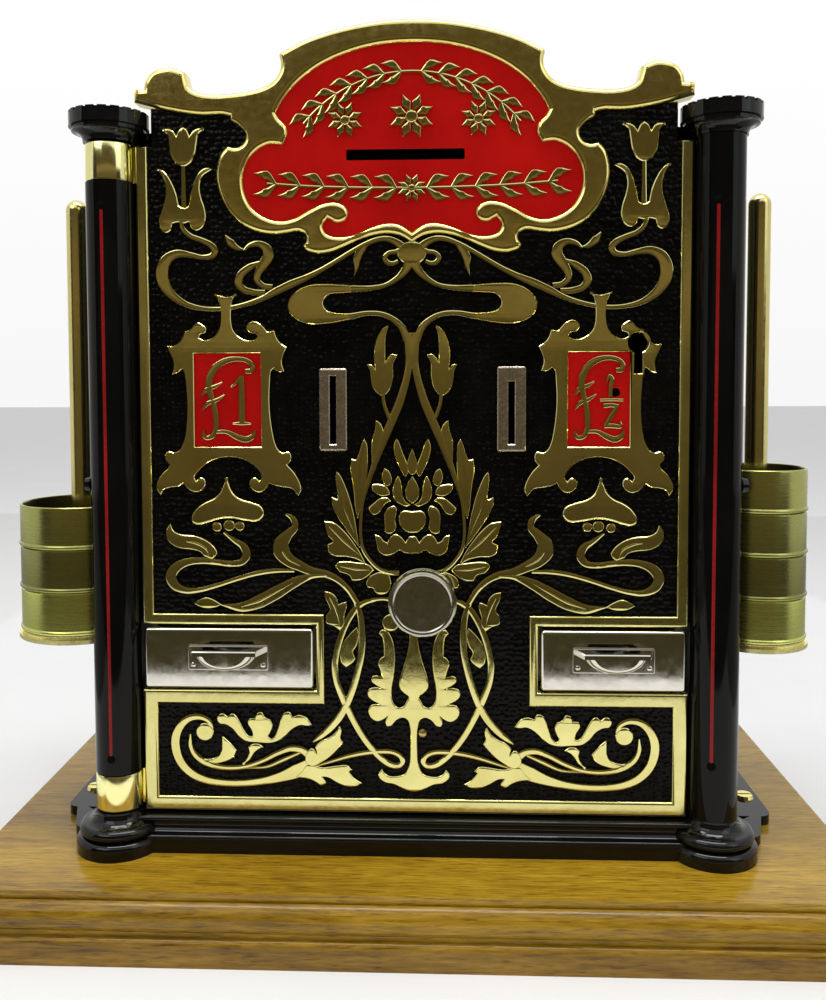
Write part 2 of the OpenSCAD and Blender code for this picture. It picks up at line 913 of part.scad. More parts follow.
module door_plate() {
    color(brass) machine() difference() {
        union() {
            upright(0, door_t) door_outline();
            for (z = [low_collar_z, high_collar_z]) hinge_collar(z);
        }
        upright(-1, relief) ground_outline();
        upright(-1, enamel_t + relief) cartouche(0);
        upright(relief - 1, relief + enamel_t) value_outline();
        upright(-1, door_t + 1) {
            slot_outline(-slot_left, coin_large);
            slot_outline(slot_right, coin_small);
            key_outline();
            window_outline();
        }
        rod_y(knob_x, knob_z, bush_r - 1.5, -1, door_t + 1);
        for (z = [low_collar_z, high_collar_z]) translate([-col_x, col_y, z - 1])
            cylinder(r = pin_r + run_gap, h = collar_h + 2);
        translate([-col_x, col_y, cap_z - cap_clear])
            cylinder(r = cap_r + cap_clear, h = cap_h + 2 * cap_clear);
        block([col_x - cap_r - cap_clear * 2, -1, cap_z - cap_clear],
              [door_half + 1, door_t + 1, cap_z + cap_h + cap_clear]);
    }
}

module cartouche_enamel() {
    color(red) machine() upright(relief, relief + enamel_t) difference() {
        cartouche(0);
        window_outline();
    }
}

module value_enamels() {
    color(red) machine() upright(relief, relief + enamel_t) difference() {
        value_outline();
        key_outline();
    }
}

module slot_bezels() {
    color(nickel) machine() upright(0, relief) {
        difference() {
            bezel_outline(-slot_left, coin_large);
            slot_outline(-slot_left, coin_large);
        }
        difference() {
            bezel_outline(slot_right, coin_small);
            slot_outline(slot_right, coin_small);
        }
    }
}

module lock_case() {
    wall = 1.5;
    color(steel) machine() difference() {
        block([lock_x0, door_t, lock_mid_z - lock_half_h], [lock_x1, lock_y1, lock_mid_z + lock_half_h]);
        block([bolt_x0 - 4, bolt_y0 - fit_gap, lock_mid_z - bolt_h / 2 - fit_gap],
              [lock_x1 + 1, bolt_y0 + bolt_d + fit_gap, lock_mid_z + bolt_h / 2 + fit_gap]);
        upright(door_t - 1, bolt_y0) key_outline();
    }
}

// Plunger: bush and bridge on the door, a sprung rod and the knob
module plunger_bush() {
    color(brass) machine() difference() {
        union() {
            rod_y(knob_x, knob_z, bush_r - 1.5, 0, door_t);
            rod_y(knob_x, knob_z, bush_r, door_t, bush_y1);
        }
        rod_y(knob_x, knob_z, rod_r + run_gap, -1, bush_y1 + 1);
    }
}

module plunger_bridge() {
    half_h = 7;
    color(steel) machine() difference() {
        union() {
            for (side = [-1, 1]) translate([knob_x + side * bridge_half, 0, knob_z])
                block([-bridge_leg / 2, door_t, -half_h], [bridge_leg / 2, bridge_y0 + bridge_t, half_h]);
            block([knob_x - bridge_half, bridge_y0, knob_z - half_h],
                  [knob_x + bridge_half, bridge_y0 + bridge_t, knob_z + half_h]);
        }
        rod_y(knob_x, knob_z, rod_r + fit_gap, bridge_y0 - 1, bridge_y0 + bridge_t + 1);
    }
}

module plunger_spring() {
    spring_r = stop_r - 0.4;
    color(steel) machine() difference() {
        rod_y(knob_x, knob_z, spring_r, stop_y0 + stop_t + 0.1, bridge_y0 - 0.1);
        rod_y(knob_x, knob_z, rod_r + fit_gap, stop_y0 + stop_t - 1, bridge_y0 + 1);
    }
}

module plunger_rod() {
    color(steel) machine() {
        rod_y(knob_x, knob_z, rod_r, knob_back, bridge_y0 + bridge_t);
        rod_y(knob_x, knob_z, pusher_h / 2 - 0.5, bridge_y0, rod_end);
        rod_y(knob_x, knob_z, stop_r, stop_y0, stop_y0 + stop_t);
    }
}

// Knob: a dished button with a double rim
module push_knob() {
    rim = 1;
    dish = 0.6;
    color(nickel) machine() translate([knob_x, knob_back, knob_z]) rotate([90, 0, 0])
        rotate_extrude() difference() {
        union() {
            square([knob_r, knob_t - rim]);
            square([knob_r - rim, knob_t]);
            translate([knob_r - rim, knob_t - rim]) circle(r = rim);
        }
        translate([0, knob_t - dish]) square([knob_r - 2.4, dish + 1]);
        translate([-knob_r, -2]) square([knob_r, knob_t + 4]);
    }
}

module lock_bolt() {
    color(brass) machine() block([bolt_x0, bolt_y0, lock_mid_z - bolt_h / 2],
                                 [bolt_x1, bolt_y0 + bolt_d, lock_mid_z + bolt_h / 2]);
}

// Drawers: open trays with plated fronts and cup pulls
module tray(x0, x1) {
    color(dull_brass) machine() difference() {
        block([x0, tray_y, tray_z], [x1, tray_back, tray_top]);
        block([x0 + tray_wall, tray_y + tray_wall, tray_z + tray_wall],
              [x1 - tray_wall, tray_back - tray_wall, tray_top + 1]);
    }
}

module drawer_front(x0, x1) {
    color(nickel) machine() block([x0, -front_proud, drawer_z], [x1, tray_y, drawer_z + drawer_h]);
}

module pull(x) {
    face = -front_proud - pull_plate;
    nose = face - pull_reach;
    low = pull_bowl * 0.78 + 1;
    color(nickel) machine() translate([x, 0, pull_z]) {
        block([-pull_half, face, -low], [pull_half, -front_proud, pull_lip]);
        difference() {
            linear_extrude(pull_lip)
                polygon([[-pull_half, face], [-pull_nose, nose], [pull_nose, nose], [pull_half, face]]);
            block([-pull_bowl + 1.6, nose + 1.6, -1], [pull_bowl - 1.6, face, pull_lip + 1]);
        }
        intersection() {
            translate([0, face, 0]) rotate([90, 0, 0]) rotate_extrude() difference() {
                polygon(concat([[0, 0], [pull_bowl, 0]], arc(pull_bowl - 3, pull_reach - 3, 3, 0, 90),
                               [[0, pull_reach]]));
                polygon(concat([[0, -1], [pull_bowl - pull_wall, -1]],
                               arc(pull_bowl - 3, pull_reach - 3, 3 - pull_wall, 0, 90),
                               [[0, pull_reach - pull_wall]]));
            }
            block([-pull_half, nose - 1, -low], [pull_half, face, 0]);
        }
    }
}

module left_tray() {
    tray(-left_out + tray_in, -left_in - tray_in);
}

module left_front() {
    drawer_front(-left_out, -left_in);
}

module left_pull() {
    pull(left_mid);
}

module right_tray() {
    tray(right_in + tray_in, right_out - tray_in);
}

module right_front() {
    drawer_front(right_in, right_out);
}

module right_pull() {
    pull(right_mid);
}

// Pusher: a stem behind the plunger, with a cross bar and two fingers towards the pans
module coin_pusher() {
    finger = 4;
    finger_end = lever_y0 + lever_t / 2 - pan_r - push_travel - 0.6;
    color(steel) machine() {
        block([knob_x - pusher_half, pusher_y0, pusher_z0],
              [knob_x + pusher_half, pusher_y1, pusher_z0 + pusher_h]);
        block([left_pan_x - finger / 2, pusher_bar_y, pusher_z0],
              [right_pan_x + finger / 2, pusher_bar_y + pusher_bar_t, pusher_z0 + pusher_h]);
        for (x = [left_pan_x, right_pan_x])
            block([x - finger / 2, pusher_bar_y, pusher_z0 + 2],
                  [x + finger / 2, finger_end, pusher_z0 + pusher_h + 3]);
    }
}

// Coin lever: a pan at one end, the latch on the other
module coin_lever(pivot_x, pan_x, latch_x) {
    mid_y = lever_y0 + lever_t / 2;
    color(brass) machine() difference() {
        union() {
            block([min(pan_x, latch_x - 3), lever_y0, lever_z - beam_h / 2],
                  [max(pan_x, latch_x + 3), lever_y0 + lever_t, lever_z + beam_h / 2]);
            rod_y(pivot_x, lever_z, hub_r, lever_y0, lever_y0 + lever_t);
            translate([pan_x, mid_y, pan_z]) cylinder(r = pan_r, h = pan_t);
        }
        rod_y(pivot_x, lever_z, pivot_r + run_gap, lever_y0 - 1, lever_y0 + lever_t + 1);
    }
}

module left_lever() {
    coin_lever(left_pivot_x, left_pan_x, left_latch_x);
}

module right_lever() {
    coin_lever(right_pivot_x, right_pan_x, right_latch_x);
}

// Latch: a finger fixed to the lever's back, which drops into the tray in front of its back wall
module latch(x) {
    color(steel) machine() block([x - latch_w / 2, latch_y0, latch_low],
                                 [x + latch_w / 2, latch_y0 + latch_d, lever_z + beam_h]);
}

module left_latch() {
    latch(left_latch_x);
}

module right_latch() {
    latch(right_latch_x);
}

base_board();
base_plate();
base_screws();
plinth();
left_column();
right_column();
left_capital();
right_capital();
hinge_pin();
tie_rod();
left_side();
right_side();
back_panel();
top_panel();
panel_screws();
side_bolts();
left_saucer();
right_saucer();
left_post();
right_post();
left_cup_low();
left_cup_mid();
left_cup_top();
right_cup_low();
right_cup_mid();
right_cup_high();
right_cup_top();
drawer_shelf();
drawer_guides();
mechanism_deck();
left_runway();
right_runway();
lever_stands();
pusher_guides();
gold_box();
lock_keep();
door_plate();
cartouche_enamel();
value_enamels();
slot_bezels();
lock_case();
plunger_bush();
plunger_bridge();
plunger_spring();
push_knob();
plunger_rod();
lock_bolt();
left_tray();
left_front();
left_pull();
right_tray();
right_front();
right_pull();
coin_pusher();
left_lever();
right_lever();
left_latch();
right_latch();
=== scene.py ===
"""Coin changer: surfaces, raised ornament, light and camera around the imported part."""
import math

import bpy
import numpy as np
from mathutils import Matrix, Vector
from mathutils.geometry import tessellate_polygon


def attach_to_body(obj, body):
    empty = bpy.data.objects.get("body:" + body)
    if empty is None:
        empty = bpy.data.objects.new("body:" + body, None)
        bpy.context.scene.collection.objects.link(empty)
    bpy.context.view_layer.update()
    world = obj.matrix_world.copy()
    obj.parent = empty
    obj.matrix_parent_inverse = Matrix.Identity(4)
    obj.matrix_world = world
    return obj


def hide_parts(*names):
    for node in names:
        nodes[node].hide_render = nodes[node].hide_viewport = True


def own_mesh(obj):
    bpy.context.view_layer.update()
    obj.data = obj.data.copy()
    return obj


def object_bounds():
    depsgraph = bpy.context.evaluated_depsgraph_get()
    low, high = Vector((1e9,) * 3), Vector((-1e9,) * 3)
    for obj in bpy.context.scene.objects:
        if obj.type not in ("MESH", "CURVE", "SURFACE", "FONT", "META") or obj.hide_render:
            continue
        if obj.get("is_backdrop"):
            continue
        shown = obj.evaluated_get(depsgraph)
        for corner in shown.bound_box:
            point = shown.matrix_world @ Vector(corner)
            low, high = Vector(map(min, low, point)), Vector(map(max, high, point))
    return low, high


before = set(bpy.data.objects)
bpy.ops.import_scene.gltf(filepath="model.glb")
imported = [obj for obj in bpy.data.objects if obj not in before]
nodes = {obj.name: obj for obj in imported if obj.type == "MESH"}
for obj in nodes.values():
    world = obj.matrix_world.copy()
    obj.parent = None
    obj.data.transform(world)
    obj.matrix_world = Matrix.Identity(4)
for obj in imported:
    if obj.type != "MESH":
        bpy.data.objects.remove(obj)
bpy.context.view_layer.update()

# Door coordinates in millimetres: x and height on the door's face, y back from it
MM = 0.001
DOOR_Y = -50.0
DOOR_Z = 28.4
GROUND = 1.2


def place(x, y, z):
    return (x * MM, (y + DOOR_Y) * MM, (z + DOOR_Z) * MM)


# Materials
def new_material(name):
    material = bpy.data.materials.new(name)
    material.use_nodes = True
    tree = material.node_tree
    shader = tree.nodes["Principled BSDF"]
    return material, tree, shader


def feed(tree, made, inputs):
    """Sets a node's inputs: a socket is linked, and anything else is a plain value."""
    for name, value in inputs.items():
        if isinstance(value, bpy.types.NodeSocket):
            tree.links.new(value, made.inputs[name])
        else:
            made.inputs[name].default_value = value


def node(tree, kind, inputs, **settings):
    """A new node's outputs."""
    made = tree.nodes.new(kind)
    for name, value in settings.items():
        setattr(made, name, value)
    feed(tree, made, inputs)
    return made.outputs


EVEN = (1.0, 1.0, 1.0)
WHITE = (1.0, 1.0, 1.0)


def coordinates(tree, scale=EVEN):
    source = node(tree, "ShaderNodeTexCoord", {})
    return node(tree, "ShaderNodeMapping", {"Scale": scale, "Vector": source["Object"]})["Vector"]


def noise(tree, vector, scale, detail=4.0, rough=0.55, distortion=0.0):
    return node(tree, "ShaderNodeTexNoise", {
        "Vector": vector, "Scale": scale, "Detail": detail, "Roughness": rough, "Distortion": distortion
    })["Fac"]


def ramp(tree, value, stops):
    made = tree.nodes.new("ShaderNodeValToRGB")
    band = made.color_ramp
    while len(band.elements) < len(stops):
        band.elements.new(0.5)
    for element, (place_at, colour) in zip(band.elements, stops):
        element.position = place_at
        element.color = (*colour, 1.0)
    tree.links.new(value, made.inputs["Fac"])
    return made.outputs["Color"]


def spread(tree, value, low, high, start=0.3, end=0.7):
    return node(tree, "ShaderNodeMapRange", {
        "Value": value, "From Min": start, "From Max": end, "To Min": low, "To Max": high
    })["Result"]


def mixed(tree, first, second, share):
    inputs = {"Factor": share, "A": first, "B": second}
    return node(tree, "ShaderNodeMix", inputs, data_type="FLOAT")["Result"]


def multiplied(tree, first, second, share):
    inputs = {"Factor": share, "A": first, "B": second}
    return node(tree, "ShaderNodeMix", inputs, data_type="RGBA", blend_type="MULTIPLY")["Result"]


def bump(tree, height, strength, distance):
    inputs = {"Height": height, "Strength": strength, "Distance": distance}
    return node(tree, "ShaderNodeBump", inputs)["Normal"]


def metal(name, colours, rough, fine=900.0, broad=35.0, dents=0.05):
    """Metal with broad changes of tone, a fine uneven polish and slight dents."""
    material, tree, shader = new_material(name)
    vector = coordinates(tree)
    tone = noise(tree, vector, broad, 5.0, 0.6, 0.4)
    polish = noise(tree, vector, fine, 3.0, 0.6)
    feed(tree, shader, {
        "Base Color": ramp(tree, tone, [(0.3, colours[0]), (0.7, colours[1])]),
        "Roughness": spread(tree, polish, *rough),
        "Metallic": 1.0,
        "Normal": bump(tree, tone, dents, 0.0006)
    })
    return material


def spun(name, colours, rough):
    """Spun metal: fine rings round an upright axis, a slow change of tone and a fine speckle."""
    material, tree, shader = new_material(name)
    vector = coordinates(tree)
    tone = noise(tree, vector, 24.0, 3.0, 0.5, 0.2)
    speckle = noise(tree, vector, 1300.0, 2.0, 0.6)
    rings = noise(tree, coordinates(tree, (25.0, 25.0, 1500.0)), 1.0, 3.0, 0.6)
    blend = mixed(tree, tone, speckle, 0.4)
    feed(tree, shader, {
        "Base Color": ramp(tree, blend, [(0.36, colours[0]), (0.64, colours[1])]),
        "Roughness": spread(tree, rings, *rough),
        "Metallic": 1.0,
        "Normal": bump(tree, rings, 0.05, 0.0002)
    })
    return material


def enamel(name, colours, rough, grain, depth, coat, shine):
    """Stoved paint with a slightly wavy face."""
    material, tree, shader = new_material(name)
    vector = coordinates(tree)
    tone = noise(tree, vector, 28.0, 4.0, 0.6)
    wave = noise(tree, vector, grain, 2.0, 0.5)
    feed(tree, shader, {
        "Base Color": ramp(tree, tone, [(0.3, colours[0]), (0.7, colours[1])]),
        "Roughness": spread(tree, wave, *rough),
        "Coat Weight": coat,
        "Specular IOR Level": shine,
        "Normal": bump(tree, wave, depth, 0.0003)
    })
    return material


def stippled(name):
    """Black ground with close, rounded bumps like grained leather."""
    material, tree, shader = new_material(name)
    vector = coordinates(tree, (1.0, 1.0, 0.9))
    cells = node(tree, "ShaderNodeTexVoronoi", {
        "Vector": vector, "Scale": 640.0, "Smoothness": 0.3, "Randomness": 0.6
    }, feature="SMOOTH_F1")
    tone = noise(tree, vector, 90.0, 3.0, 0.6)
    height = spread(tree, cells["Distance"], 1.0, 0.0, 0.0, 0.7)
    feed(tree, shader, {
        "Base Color": ramp(tree, tone, [(0.3, (0.001, 0.001, 0.001)), (0.75, (0.003, 0.003, 0.002))]),
        "Roughness": spread(tree, tone, 0.2, 0.3),
        "Specular IOR Level": 0.1,
        "Normal": bump(tree, height, 0.55, 0.0008)
    })
    return material


BOARD_H = 0.021


def timber(name):
    """Varnished wood: short flecks along the board's length, and painted shade darkening its moulded edge
    and lower strip by height.
    """
    material, tree, shader = new_material(name)
    fibres = noise(tree, coordinates(tree, (110.0, 1250.0, 1250.0)), 1.0, 4.0, 0.6, 0.3)
    streaks = noise(tree, coordinates(tree, (26.0, 240.0, 240.0)), 1.0, 4.0, 0.6, 0.5)
    broad = noise(tree, coordinates(tree, (7.0, 20.0, 20.0)), 1.0, 3.0, 0.55, 0.6)
    pores = noise(tree, coordinates(tree, (150.0, 1700.0, 1700.0)), 1.0, 2.0, 0.5)
    grain = mixed(tree, mixed(tree, fibres, streaks, 0.45), broad, 0.3)
    colour = ramp(tree, grain, [
        (0.37, (0.16, 0.087, 0.008)), (0.47, (0.32, 0.182, 0.010)), (0.54, (0.41, 0.242, 0.014)),
        (0.64, (0.56, 0.350, 0.030))
    ])
    shade = ramp(tree, pores, [(0.32, (0.50, 0.42, 0.36)), (0.42, WHITE)])
    axes = node(tree, "ShaderNodeSeparateXYZ", {"Vector": coordinates(tree)})
    # Painted shade: below the board's top the moulded edge is darkened, and the lower strip most and
    # greyest.
    painted_edge_shade = ramp(tree, spread(tree, axes["Z"], 0.0, 1.0, 0.0, BOARD_H), [
        (0.31, (0.60, 0.56, 0.75)), (0.38, (0.76, 0.73, 0.60)), (0.88, (0.76, 0.73, 0.60)), (0.94, WHITE)
    ])
    feed(tree, shader, {
        "Base Color": multiplied(tree, multiplied(tree, colour, shade, 0.8), painted_edge_shade, 1.0),
        "Roughness": spread(tree, fibres, 0.15, 0.27),
        "Specular IOR Level": 0.33,
        "Normal": bump(tree, pores, 0.12, 0.0002)
    })
    return material


BRASS = metal("polished_brass", ((0.84, 0.74, 0.26), (0.93, 0.85, 0.36)), (0.06, 0.12), 300.0, 40.0, 0.05)
RELIEF = metal("relief_brass", ((0.70, 0.64, 0.23), (0.84, 0.79, 0.34)), (0.08, 0.15), 420.0, 70.0, 0.08)
CREST = metal("crest_brass", ((0.74, 0.63, 0.20), (0.85, 0.75, 0.27)), (0.13, 0.22), 500.0, 38.0, 0.08)
FRAME_BRASS = metal(
    "frame_brass", ((0.64, 0.60, 0.23), (0.78, 0.74, 0.33)), (0.10, 0.18), 380.0, 80.0, 0.10
)
SCREW_BRASS = metal(
    "screw_brass", ((0.52, 0.42, 0.15), (0.70, 0.57, 0.22)), (0.22, 0.36), 700.0, 200.0, 0.2
)
ROD_BRASS = metal("rod_brass", ((0.70, 0.62, 0.24), (0.82, 0.73, 0.31)), (0.14, 0.24), 500.0, 60.0, 0.05)
# A paler, brighter copy of the brass for the hinge collars: painted bright reflection.
COLLAR = metal("collar_brass_painted_sheen", ((0.95, 0.90, 0.38), (1.0, 0.97, 0.48)), (0.10, 0.18), 400.0, 50.0, 0.04)
# A paler copy of the brass for the saucers: painted bright reflection on their lips.
SHEEN_SAUCER = metal("saucer_brass_painted_sheen", ((0.93, 0.87, 0.42), (1.0, 0.95, 0.52)), (0.24, 0.34), 500.0, 60.0, 0.05)
NICKEL = metal("nickel_plate", ((0.70, 0.69, 0.63), (0.80, 0.79, 0.74)), (0.04, 0.10), 300.0, 45.0, 0.03)
# A darker copy of the nickel for the knob's face: painted dark reflection of the room in front.
DIMMED_KNOB_NICKEL = metal(
    "knob_nickel_painted_dim", ((0.44, 0.43, 0.37), (0.54, 0.53, 0.46)), (0.12, 0.20), 900.0, 120.0, 0.05
)
BEZEL = metal("bezel_nickel", ((0.46, 0.42, 0.34), (0.62, 0.57, 0.47)), (0.20, 0.36), 1100.0, 260.0, 0.2)
STEEL = metal("plain_steel", ((0.30, 0.31, 0.33), (0.44, 0.45, 0.46)), (0.28, 0.45), 800.0, 90.0, 0.1)
# One cup brass in four brightnesses, one for each level of the stacks: painted light and shade, with the
# low cups lightest and the middle ones darkest.
CUP_LIGHT_TONES = [
    ((0.38, 0.39, 0.12), (0.47, 0.48, 0.155)), ((0.28, 0.28, 0.095), (0.36, 0.355, 0.125)),
    ((0.62, 0.66, 0.185), (0.74, 0.78, 0.235)), ((0.35, 0.36, 0.12), (0.44, 0.45, 0.155))
]
CUPS_BY_LIGHT = [spun("cup_brass_lit_%d" % i, tones, (0.23, 0.30)) for i, tones in enumerate(CUP_LIGHT_TONES)]
# The cups' inner wall and floor: near-black brass as painted shade of the hollow.
CUP_INSIDE_SHADE = spun("cup_inside_painted_shade", ((0.05, 0.042, 0.02), (0.10, 0.085, 0.035)), (0.40, 0.55))
COLUMN_BLACK = enamel(
    "column_black", ((0.002, 0.002, 0.002), (0.004, 0.004, 0.004)), (0.05, 0.10), 160.0, 0.015, 0.0, 0.16
)
BLACK = enamel(
    "gloss_black", ((0.002, 0.002, 0.002), (0.005, 0.005, 0.005)), (0.05, 0.10), 160.0, 0.015, 0.0, 0.34
)
RED = enamel(
    "red_enamel", ((0.34, 0.002, 0.002), (0.49, 0.005, 0.003)), (0.30, 0.45), 420.0, 0.16, 0.2, 0.04
)
# A darker red for the column lines: their red with the painted shade of the groove they lie in.
GROOVE_SHADED_RED = enamel(
    "line_red_groove_shade", ((0.17, 0.003, 0.003), (0.30, 0.008, 0.006)), (0.2, 0.3), 600.0, 0.1, 0.0, 0.2
)
# A dull near-black for a disc at each line end: painted shade of the drilled hole that the line's groove
# ends in.
HOLE_SHADE_BLACK = enamel(
    "line_end", ((0.001, 0.001, 0.001), (0.002, 0.002, 0.002)), (0.5, 0.6), 600.0, 0.1, 0.0, 0.05
)
STIPPLE = stippled("stippled_black")
WOOD = timber("varnished_wood")

NODE_MATERIALS = {
    WOOD: ["base_board"],
    COLUMN_BLACK: ["left_column", "right_column"],
    BLACK: [
        "base_plate", "plinth", "left_capital", "right_capital", "left_side", "right_side", "back_panel",
        "top_panel", "side_bolts"
    ],
    SCREW_BRASS: ["plunger_bush", "lock_bolt", "left_lever", "right_lever"],
    ROD_BRASS: [
        "left_post", "right_post", "left_tray", "right_tray", "gold_box", "left_runway", "right_runway"
    ],
    STEEL: [
        "hinge_pin", "tie_rod", "panel_screws", "drawer_shelf", "drawer_guides", "mechanism_deck",
        "lever_stands", "pusher_guides", "lock_keep", "lock_case", "plunger_bridge", "plunger_spring",
        "plunger_rod", "coin_pusher", "left_latch", "right_latch"
    ],
    CUPS_BY_LIGHT[0]: ["left_cup_top", "right_cup_top"],
    CUPS_BY_LIGHT[1]: ["left_cup_mid", "right_cup_mid"],
    CUPS_BY_LIGHT[2]: ["left_cup_low", "right_cup_low"],
    CUPS_BY_LIGHT[3]: ["right_cup_high"],
    NICKEL: ["push_knob", "left_front", "left_pull", "right_front", "right_pull"],
    BEZEL: ["slot_bezels"],
    RED: ["cartouche_enamel", "value_enamels"],
    BRASS: ["door_plate", "base_screws"],
    SHEEN_SAUCER: ["left_saucer", "right_saucer"]
}
SOFT_EDGES = {
    "base_board": 0.3, "base_plate": 0.5, "left_side": 0.4, "right_side": 0.4, "top_panel": 0.4,
    "back_panel": 0.4, "side_bolts": 0.5, "base_screws": 0.12
}


def soften(obj, angle=32.0):
    for face in obj.data.polygons:
        face.use_smooth = True
    obj.data.set_sharp_from_angle(angle=math.radians(angle))


for material, names in NODE_MATERIALS.items():
    for name in names:
        nodes[name].data.materials.clear()
        nodes[name].data.materials.append(material)
        soften(nodes[name])
for name, width in SOFT_EDGES.items():
    rounding = nodes[name].modifiers.new("soft_edge", "BEVEL")
    rounding.width = width * MM
    rounding.segments = 2
    rounding.limit_method = "ANGLE"
    rounding.angle_limit = math.radians(40.0)


# Curves: Catmull-Rom through given points; a third value marks a corner
def segment(p, count):
    gaps = [max(np.linalg.norm(p[i + 1] - p[i]), 1e-6) ** 0.5 for i in range(3)]
    t = np.concatenate([[0.0], np.cumsum(gaps)])
    out = []
    for i in range(count):
        s = t[1] + (t[2] - t[1]) * i / count
        a = [(t[k + 1] - s) / gaps[k] * p[k] + (s - t[k]) / gaps[k] * p[k + 1] for k in range(3)]
        b = []
        for k in range(2):
            gap = t[k + 2] - t[k]
            b.append((t[k + 2] - s) / gap * a[k] + (s - t[k]) / gap * a[k + 1])
        out.append((t[2] - s) / gaps[1] * b[0] + (s - t[1]) / gaps[1] * b[1])
    return out


def open_curve(points, step=0.55):
    p = [np.array(q[:2], float) for q in points]
    p = [2 * p[0] - p[1]] + p + [2 * p[-1] - p[-2]]
    out = []
    counts = []
    for i in range(1, len(p) - 2):
        count = max(1, int(math.ceil(np.linalg.norm(p[i + 1] - p[i]) / step)))
        out += segment(p[i - 1:i + 3], count)
        counts.append(count)
    out.append(p[-2])
    return np.array(out), counts


def closed_curve(points, step=0.55):
    """A closed outline, counter-clockwise seen from the front."""
    corners = [i for i, q in enumerate(points) if len(q) > 2]
    if corners:
        points = points[corners[0]:] + points[:corners[0]]
        corners = [i for i, q in enumerate(points) if len(q) > 2] + [len(points)]
        looped = points + points[:1]
        out = np.concatenate([
            open_curve(looped[a:b + 1], step)[0][:-1] for a, b in zip(corners, corners[1:])
        ])
    else:
        p = [np.array(q, float) for q in points]
        out = []
        for i in range(len(p)):
            four = [p[(i + k) % len(p)] for k in (-1, 0, 1, 2)]
            out += segment(four, max(1, int(math.ceil(np.linalg.norm(four[2] - four[1]) / step))))
        out = np.array(out)
    nxt = np.roll(out, -1, 0)
    if np.sum(out[:, 0] * nxt[:, 1] - nxt[:, 0] * out[:, 1]) < 0:
        out = out[::-1]
    return out


def both_halves(half):
    """A left half, listed from one end on the middle line to the other, closed with its mirror image."""
    mirrored = [(-q[0], *q[1:]) for q in reversed(half) if abs(q[0]) > 1e-6]
    return half + mirrored


def ring(x, z, rx, rz=None, count=28):
    angles = np.linspace(0, 2 * math.pi, count, endpoint=False)
    return np.stack([x + rx * np.cos(angles), z + (rz or rx) * np.sin(angles)], -1)


def box_loop(x0, z0, x1, z1, radius=0.0, count=5):
    if radius <= 0:
        return np.array([(x0, z0), (x1, z0), (x1, z1), (x0, z1)], float)
    out = []
    right, left, low, high = x1 - radius, x0 + radius, z0 + radius, z1 - radius
    for cx, cz, start in ((right, low, -90), (right, high, 0), (left, high, 90), (left, low, 180)):
        for i in range(count + 1):
            a = math.radians(start + 90 * i / count)
            out.append((cx + radius * math.cos(a), cz + radius * math.sin(a)))
    return np.array(out)


def inset(loop, distance):
    """The loop moved inward, with its sharpest corners held back."""
    before = loop - np.roll(loop, 1, 0)
    after = np.roll(loop, -1, 0) - loop
    before /= np.maximum(np.linalg.norm(before, axis=1, keepdims=True), 1e-9)
    after /= np.maximum(np.linalg.norm(after, axis=1, keepdims=True), 1e-9)
    n1 = np.stack([-before[:, 1], before[:, 0]], -1)
    n2 = np.stack([-after[:, 1], after[:, 0]], -1)
    n = n1 + n2
    n /= np.maximum(np.linalg.norm(n, axis=1, keepdims=True), 1e-9)
    reach = 1.0 / np.maximum((n * n1).sum(1), 0.55)
    return loop + n * (distance * reach)[:, None]


def quads(first, rows, across, rings=False, joined=False):
    """Faces between rows of points: rings close on themselves, and joined rows end at the first one."""
    out = []
    for row in range(rows if joined else rows - 1):
        a = first + row * across
        b = first + (row + 1) % rows * across
        for i in range(across if rings else across - 1):
            j = (i + 1) % across
            out.append((a + i, a + j, b + j, b + i))
    return out


def add_object(name, verts, faces, material):
    mesh = bpy.data.meshes.new(name)
    mesh.from_pydata(verts, [], faces)
    mesh.materials.append(material)
    obj = bpy.data.objects.new(name, mesh)
    bpy.context.scene.collection.objects.link(obj)
    return obj


def attach(obj, body, stands_for):
    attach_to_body(obj, body)
    if stands_for:
        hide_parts(*stands_for)


